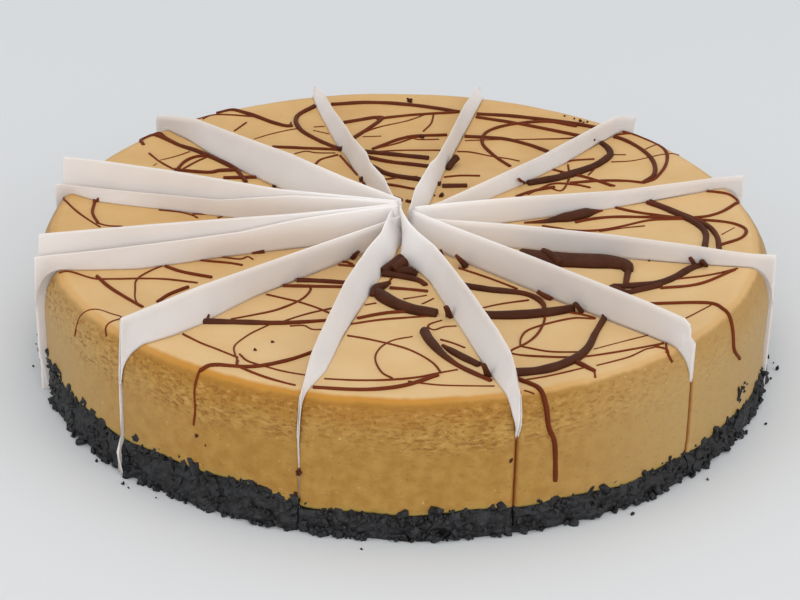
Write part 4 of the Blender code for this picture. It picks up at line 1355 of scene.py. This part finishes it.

# %% [markdown]
# Baking parchment is thin, bleached paper with a coat that keeps it from sticking, so it is a
# soft, even white with little shine. Light that enters it spreads inside the sheet, which the
# subsurface setting gives, and the caramel beside it warms its foot. Its fibres are about 0.05 mm,
# too fine for the render, so they are drawn at 0.8 mm. Where the twelve sheets bunch up at the
# middle, light bounces between them, and that extra light is painted into the paper as a whiter
# colour, a painted glow.

# %% Baking parchment
parchment, parchment_shader = new_material(
    "baking_parchment",
    {
        "Roughness": 0.6,
        "IOR": 1.45,
        "Specular IOR Level": 0.2,
        "Subsurface Weight": 0.3,
        "Subsurface Radius": (1.0, 0.95, 0.9),
        "Subsurface Scale": 1.5 * MM,
    },
)
paper, _, normal = patchy_finish(
    parchment, (20, 4, 0.35, 0.65), ("E5DDD8", "DFD7D2"), (0.8, 3), (0.1, 0.1)
)
# Painted glow: the paper's colour is whiter near the middle, for light bounced between the sheets.
bounce_glow_mask = add(parchment, "Attribute", "Fac", {"attribute_name": "bounce_glow"})
glow_mix = {MIX_AMOUNT: bounce_glow_mask, MIX_UNDER: paper, MIX_OVER: linear("F7F2EF")}
colour = add(parchment, "Mix", MIX_RESULT, COLOUR_MIX, glow_mix)
set_sockets(parchment, parchment_shader, {"Base Color": colour, "Normal": normal})
print("parchment nodes:", len(parchment.node_tree.nodes))

# %% [markdown]
# Each divider is one sheet folded in half and pushed down into the cut, with its fold at the
# bottom, so it stands as two leaves above the cake. The near leaf is read off the photograph in
# millimetres at a few radii: how far its foot bulges out over the slice, how high its top stands
# and how far the top leans. An edge row says at which radius the sheet ends at each height. The
# other leaf follows a little lower, unless it has rows of its own under "behind" and
# "behind_edge". One sheet also bends round the side, from the radius under "bend".

# %% Folded sheets in the cuts
PLAIN_EDGE = ((0, 126), (30, 127.2), (58, 127.5))
SHEETS = (
    {
        "near": "right",
        "foot": ((40, 0.3), (78, 0.3), (94, 0.9), (108, 0.9), (121, 0.3)),
        "tip": ((9, 49.7, 0.2), (39, 51.3, 0.2), (73, 51.9, 0.2), (97, 51.6, 0.1), (113, 51, 0),
            (119, 51, 0), (130, 51.9, 0)),
        "edge": ((0, 128.6), (30, 128.5), (52, 127.7)),
    },
    {
        "near": "right",
        "foot": ((30, 0.4), (50, 1.2), (72, 2.1), (89, 1.2), (110, 0.3)),
        "tip": ((15, 52.5, 0), (40, 51.9, 0.2), (80, 49.8, 0.2), (117, 50.3, 0), (129, 50.1, 0)),
        "edge": ((0, 127), (30, 128.6), (44, 129.2), (52, 128.6)),
    },
    {
        "near": "right",
        "foot": ((20, 0.3), (55, 2.3), (84, 2.4), (105, 0.5), (119, 0.3)),
        "tip": ((8, 50, 0), (18, 49, 0), (72, 50.1, 0), (106, 52.7, 0), (117, 52.9, 0), (129, 48.6, 0)),
        "edge": ((0, 126.5), (30, 127.4), (45, 128), (50, 129.4)),
    },
    {
        "near": "right",
        "foot": ((10, 0.6), (26, 2.4), (41, 1.3), (57, 0.8), (75, 0.4), (107, 0.3)),
        "tip": ((6, 51, 0.3), (17, 52, -1.1), (40, 52.5, -1.1), (44, 53, 0.2), (64, 53, -0.2),
            (100, 51.6, -2.4), (126, 49, -2.6)),
        "edge": PLAIN_EDGE,
    },
    {
        "near": "left",
        "foot": ((12, 0.4), (43, 1.8), (56, 2.6), (66, 2.4), (78, 3.1), (111, 1.7), (121, 0.3)),
        "tip": ((6, 51.5, 0.5), (14, 52, 0.9), (27, 52.5, -0.2), (39, 53, 1.2), (47, 53.5, 0.2),
            (63, 53, 0.8), (74, 52.5, 0.1), (96, 51, -0.8), (112, 50, -2.2), (126, 48.5, -2)),
        "edge": PLAIN_EDGE,
    },
    {
        "near": "left",
        "foot": ((20, 0.8), (50, 4.9), (67, 4.6), (79, 4.4), (95, 3.1), (110, 0.4), (122, 0.3)),
        "tip": ((5, 54.4, -1.2), (30, 54.4, -1), (58, 54.8, -1.9), (76, 54.8, -1), (107, 54.4, -1),
            (118, 53, 1), (125, 51.6, 1.5)),
        "edge": ((0, 126), (30, 127), (48, 125.8), (54, 124)),
    },
    {
        "near": "left",
        "foot": ((20, 0.8), (64, 2.5), (85, 3.3), (100, 4.7), (109, 5.2), (117, 3.0), (124, 0.4)),
        "tip": ((15, 54.8, 1), (40, 54, 2), (66, 50, 3), (102, 50, 3.4), (125, 50, 3)),
        "behind": ((5, 55, 0), (45, 55, 0), (86, 58.2, 0), (108, 59.2, 0), (125, 59.5, 0)),
        "edge": ((0, 126), (30, 127), (50, 126.2)),
        "behind_edge": ((0, 126), (30, 126), (60, 123.4)),
    },
    {
        "near": "left",
        "foot": ((40, 0.4), (67, 1.8), (80, 3.8), (95, 5.7), (102, 4.8), (108, 4), (115, 3), (121, 1.4),
            (124, 0.4), (126.6, 0.3)),
        "tip": ((15, 54.5, 1), (40, 54.2, 2), (60, 52.6, 3), (81, 52.3, 3), (108, 52.3, 3),
            (129, 52.6, 2.6)),
        "behind": ((15, 54.8, 0), (38, 55.4, 0), (88, 57.9, 0), (127, 59.4, 0)),
        "edge": ((0, 126.4), (6, 127.6), (12, 129.8), (24, 129.8), (40, 129.8), (52.6, 129.6)),
        "behind_edge": ((0, 129.4), (30, 129.2), (60, 127.2)),
    },
    {
        "near": "left",
        "foot": ((50, 0.3), (72, 1.3), (86, 3.6), (98, 6.0), (110, 6.6), (119, 6.0), (123, 4.2),
            (126.4, 1.2)),
        "tip": ((12, 51, 0.6), (50, 53.4, 1), (94, 55.6, 1), (126, 55.4, 0.6)),
        "edge": ((0, 133), (2, 133), (9, 130.4), (13, 127.9), (30, 127.8), (44, 127), (56, 126.2)),
        "behind_edge": ((0, 127.2), (30, 127.6), (44, 127), (56, 126.2)),
        "bend": 129.9,
    },
    {
        "near": "left",
        "foot": ((3, 0), (8, 0.1), (18, 1.2), (25, 1), (32, 0.2), (50, 0.3), (81, 0.8), (95, 2),
            (107, 2.7), (118, 1.5), (124, 0.4)),
        "tip": ((4, 53.5, -3.8), (8, 53.5, -3.8), (23, 53, -2.8), (34, 53, -3.9), (47, 52.6, -4.5),
            (59, 52, -5), (72, 51.5, -4.4), (94, 50.5, -3.4), (105, 50, -2.6), (118, 49.4, -0.6),
            (126, 48.8, 0.6)),
        "edge": ((0, 125.6), (18, 126), (26, 126.9), (36, 127.6), (46, 127), (50, 125)),
    },
    {
        "near": "right",
        "foot": ((3, 1.4), (8, 3.4), (18, 7.2), (24, 6), (31, 3.2), (38, 2), (53, 2.2), (76, 2.2),
            (103, 3), (119, 2.4), (125, 1.6), (126.8, 0.5)),
        "tip": ((3, 55.8, 3.2), (8, 54.8, 3.3), (14, 53.6, 2.6), (21, 53.2, 1.4), (34, 54, -0.7),
            (45, 54.6, -1.1), (55, 55, -1.4), (69, 55, -2.1), (97, 55.2, -2.6), (112, 54.6, -2.5),
            (119, 53, -1.8), (126, 49.5, -0.7)),
        "edge": ((0, 124), (31, 124.2), (35, 127.4), (39, 128.6), (43, 128), (50, 124.8), (56, 119)),
    },
    {
        "near": "right",
        "foot": ((20, 0.3), (80, 0.4), (107, 0.5), (119, 1.6), (123, 1.8), (126.4, 0.6)),
        "tip": ((12, 53, 0.2), (57, 55, 0.2), (107, 56.6, 0), (124, 56.4, 0), (127, 55, 0)),
        "edge": ((0, 124), (31, 124.2), (36, 126.6), (49.4, 126.6), (50.6, 124.6), (56, 124)),
    },
)
print("sheets:", len(SHEETS))

# %% [markdown]
# A leaf's section at one radius is a straight stem in the cut and, above the top, a smooth bow
# from its foot to its lean. A table's values between its rows come from straight lines.

# %% The section of a leaf
FOLD_HEIGHT = 1.2 * MM
STEM_HALF = 0.14 * MM
STEM_ROWS = 6
LEAF_ROWS = 15
FOOT_LIFT = 0.2 * MM
BEHIND_FOOT = 0.3 * MM
BEHIND_GAP = 0.35
BEHIND_DROP = 1.4
BOW = (-0.15, 1.05)
RIM_INSET = 0.05 * MM


def between_rows(rows, place, column=1):
    """A value read between the rows of a short table whose first column is the place."""
    table = np.array(rows, float)
    return np.interp(place, table[:, 0], table[:, column])


def leaf_section(sheet, is_near, radius):
    """Across and height of one leaf at a radius, from the fold up to its top edge."""
    place = radius / MM
    base = float(top_height(min(radius, CAKE_RADIUS - RIM_INSET)))
    near_crest, near_lean = [between_rows(sheet["tip"], place, column) for column in (1, 2)]
    foot = BEHIND_FOOT
    if is_near:
        crest, lean = near_crest, near_lean
        foot = between_rows(sheet["foot"], place) * MM
    elif "behind" in sheet:
        crest, lean = [between_rows(sheet["behind"], place, column) for column in (1, 2)]
        lean = -lean
    else:
        crest, lean = near_crest - BEHIND_DROP, BEHIND_GAP - near_lean
    climb = np.linspace(0, 1, LEAF_ROWS)
    leaf_across = foot + (lean * MM - foot) * smooth_step(climb, *BOW)
    leaf_height = base + FOOT_LIFT + (crest * MM - base - FOOT_LIFT) * climb
    stem_across = np.full(STEM_ROWS, STEM_HALF)
    stem_across[0] = 0.5 * STEM_HALF
    stem_height = np.linspace(FOLD_HEIGHT, base, STEM_ROWS)
    return np.concatenate([stem_across, leaf_across]), np.concatenate([stem_height, leaf_height])


_, leaf_height = leaf_section(SHEETS[0], True, 60 * MM)
print("top of the first leaf, 60 mm out:", round(leaf_height[-1] / MM, 1), "mm")

# %% [markdown]
# The sections are set side by side from the middle of the cake to the end of the sheet, and both
# leaves and the fold become one grid. A Solidify modifier then gives the paper its thickness of
# 0.1 mm, which is as thin as the render can show cleanly.

# %% Stand a sheet in each cut
PAPER_THICKNESS = 0.1 * MM
STATIONS = np.concatenate([np.linspace(0, 0.93, 62), np.linspace(0.937, 1, 14)])
EDGE_POWER = 12
NO_BEND = 140
BOUNCE_GLOW_SPAN = (10 * MM, 70 * MM)


def make_divider(index):
    """One folded sheet, standing in the cut with this index."""
    sheet = SHEETS[index]
    angle = cut_angle(index)
    outward_way = np.array([math.cos(angle), math.sin(angle), 0.0])
    left_way = np.array([-math.sin(angle), math.cos(angle), 0.0])
    bend_start = sheet.get("bend", NO_BEND) * MM
    rings = []
    for along in STATIONS:
        radius = TIP_RADIUS + (CAKE_RADIUS - TIP_RADIUS) * along
        ring = []
        for side, sign in (("left", 1), ("right", -1)):
            is_near = side == sheet["near"]
            across, height = leaf_section(sheet, is_near, radius)
            edge_rows = sheet["edge"] if is_near else sheet.get("behind_edge", sheet["edge"])
            edge = between_rows(edge_rows, height / MM) * MM
            reach = radius + along**EDGE_POWER * (edge - CAKE_RADIUS)
            bend = np.maximum(reach - bend_start, 0.0)
            leaf = (reach - bend)[:, None] * outward_way + sign * (across + bend)[:, None] * left_way
            leaf[:, 2] = height
            ring.append(leaf if side == "right" else leaf[::-1])
        rings.append(np.vstack(ring))
    points = np.array(rings)
    # Painted glow: the paper is drawn whiter near the middle.
    bounce_glow = 1 - smooth_step(np.hypot(points[..., 0], points[..., 1]), *BOUNCE_GLOW_SPAN)
    faces = grid_faces(*points.shape[:2])
    piece = mesh_object(f"parchment_{index + 1:02d}", points, faces, parchment, {"bounce_glow": bounce_glow})
    shell = piece.modifiers.new("thickness", "SOLIDIFY")
    shell.thickness = PAPER_THICKNESS
    shell.offset = 0
    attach(piece, "root")
    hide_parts(f"divider_{index + 1:02d}")
    return piece


dividers = [make_divider(index) for index in range(len(SHEETS))]
print("parchment sheets:", len(dividers))
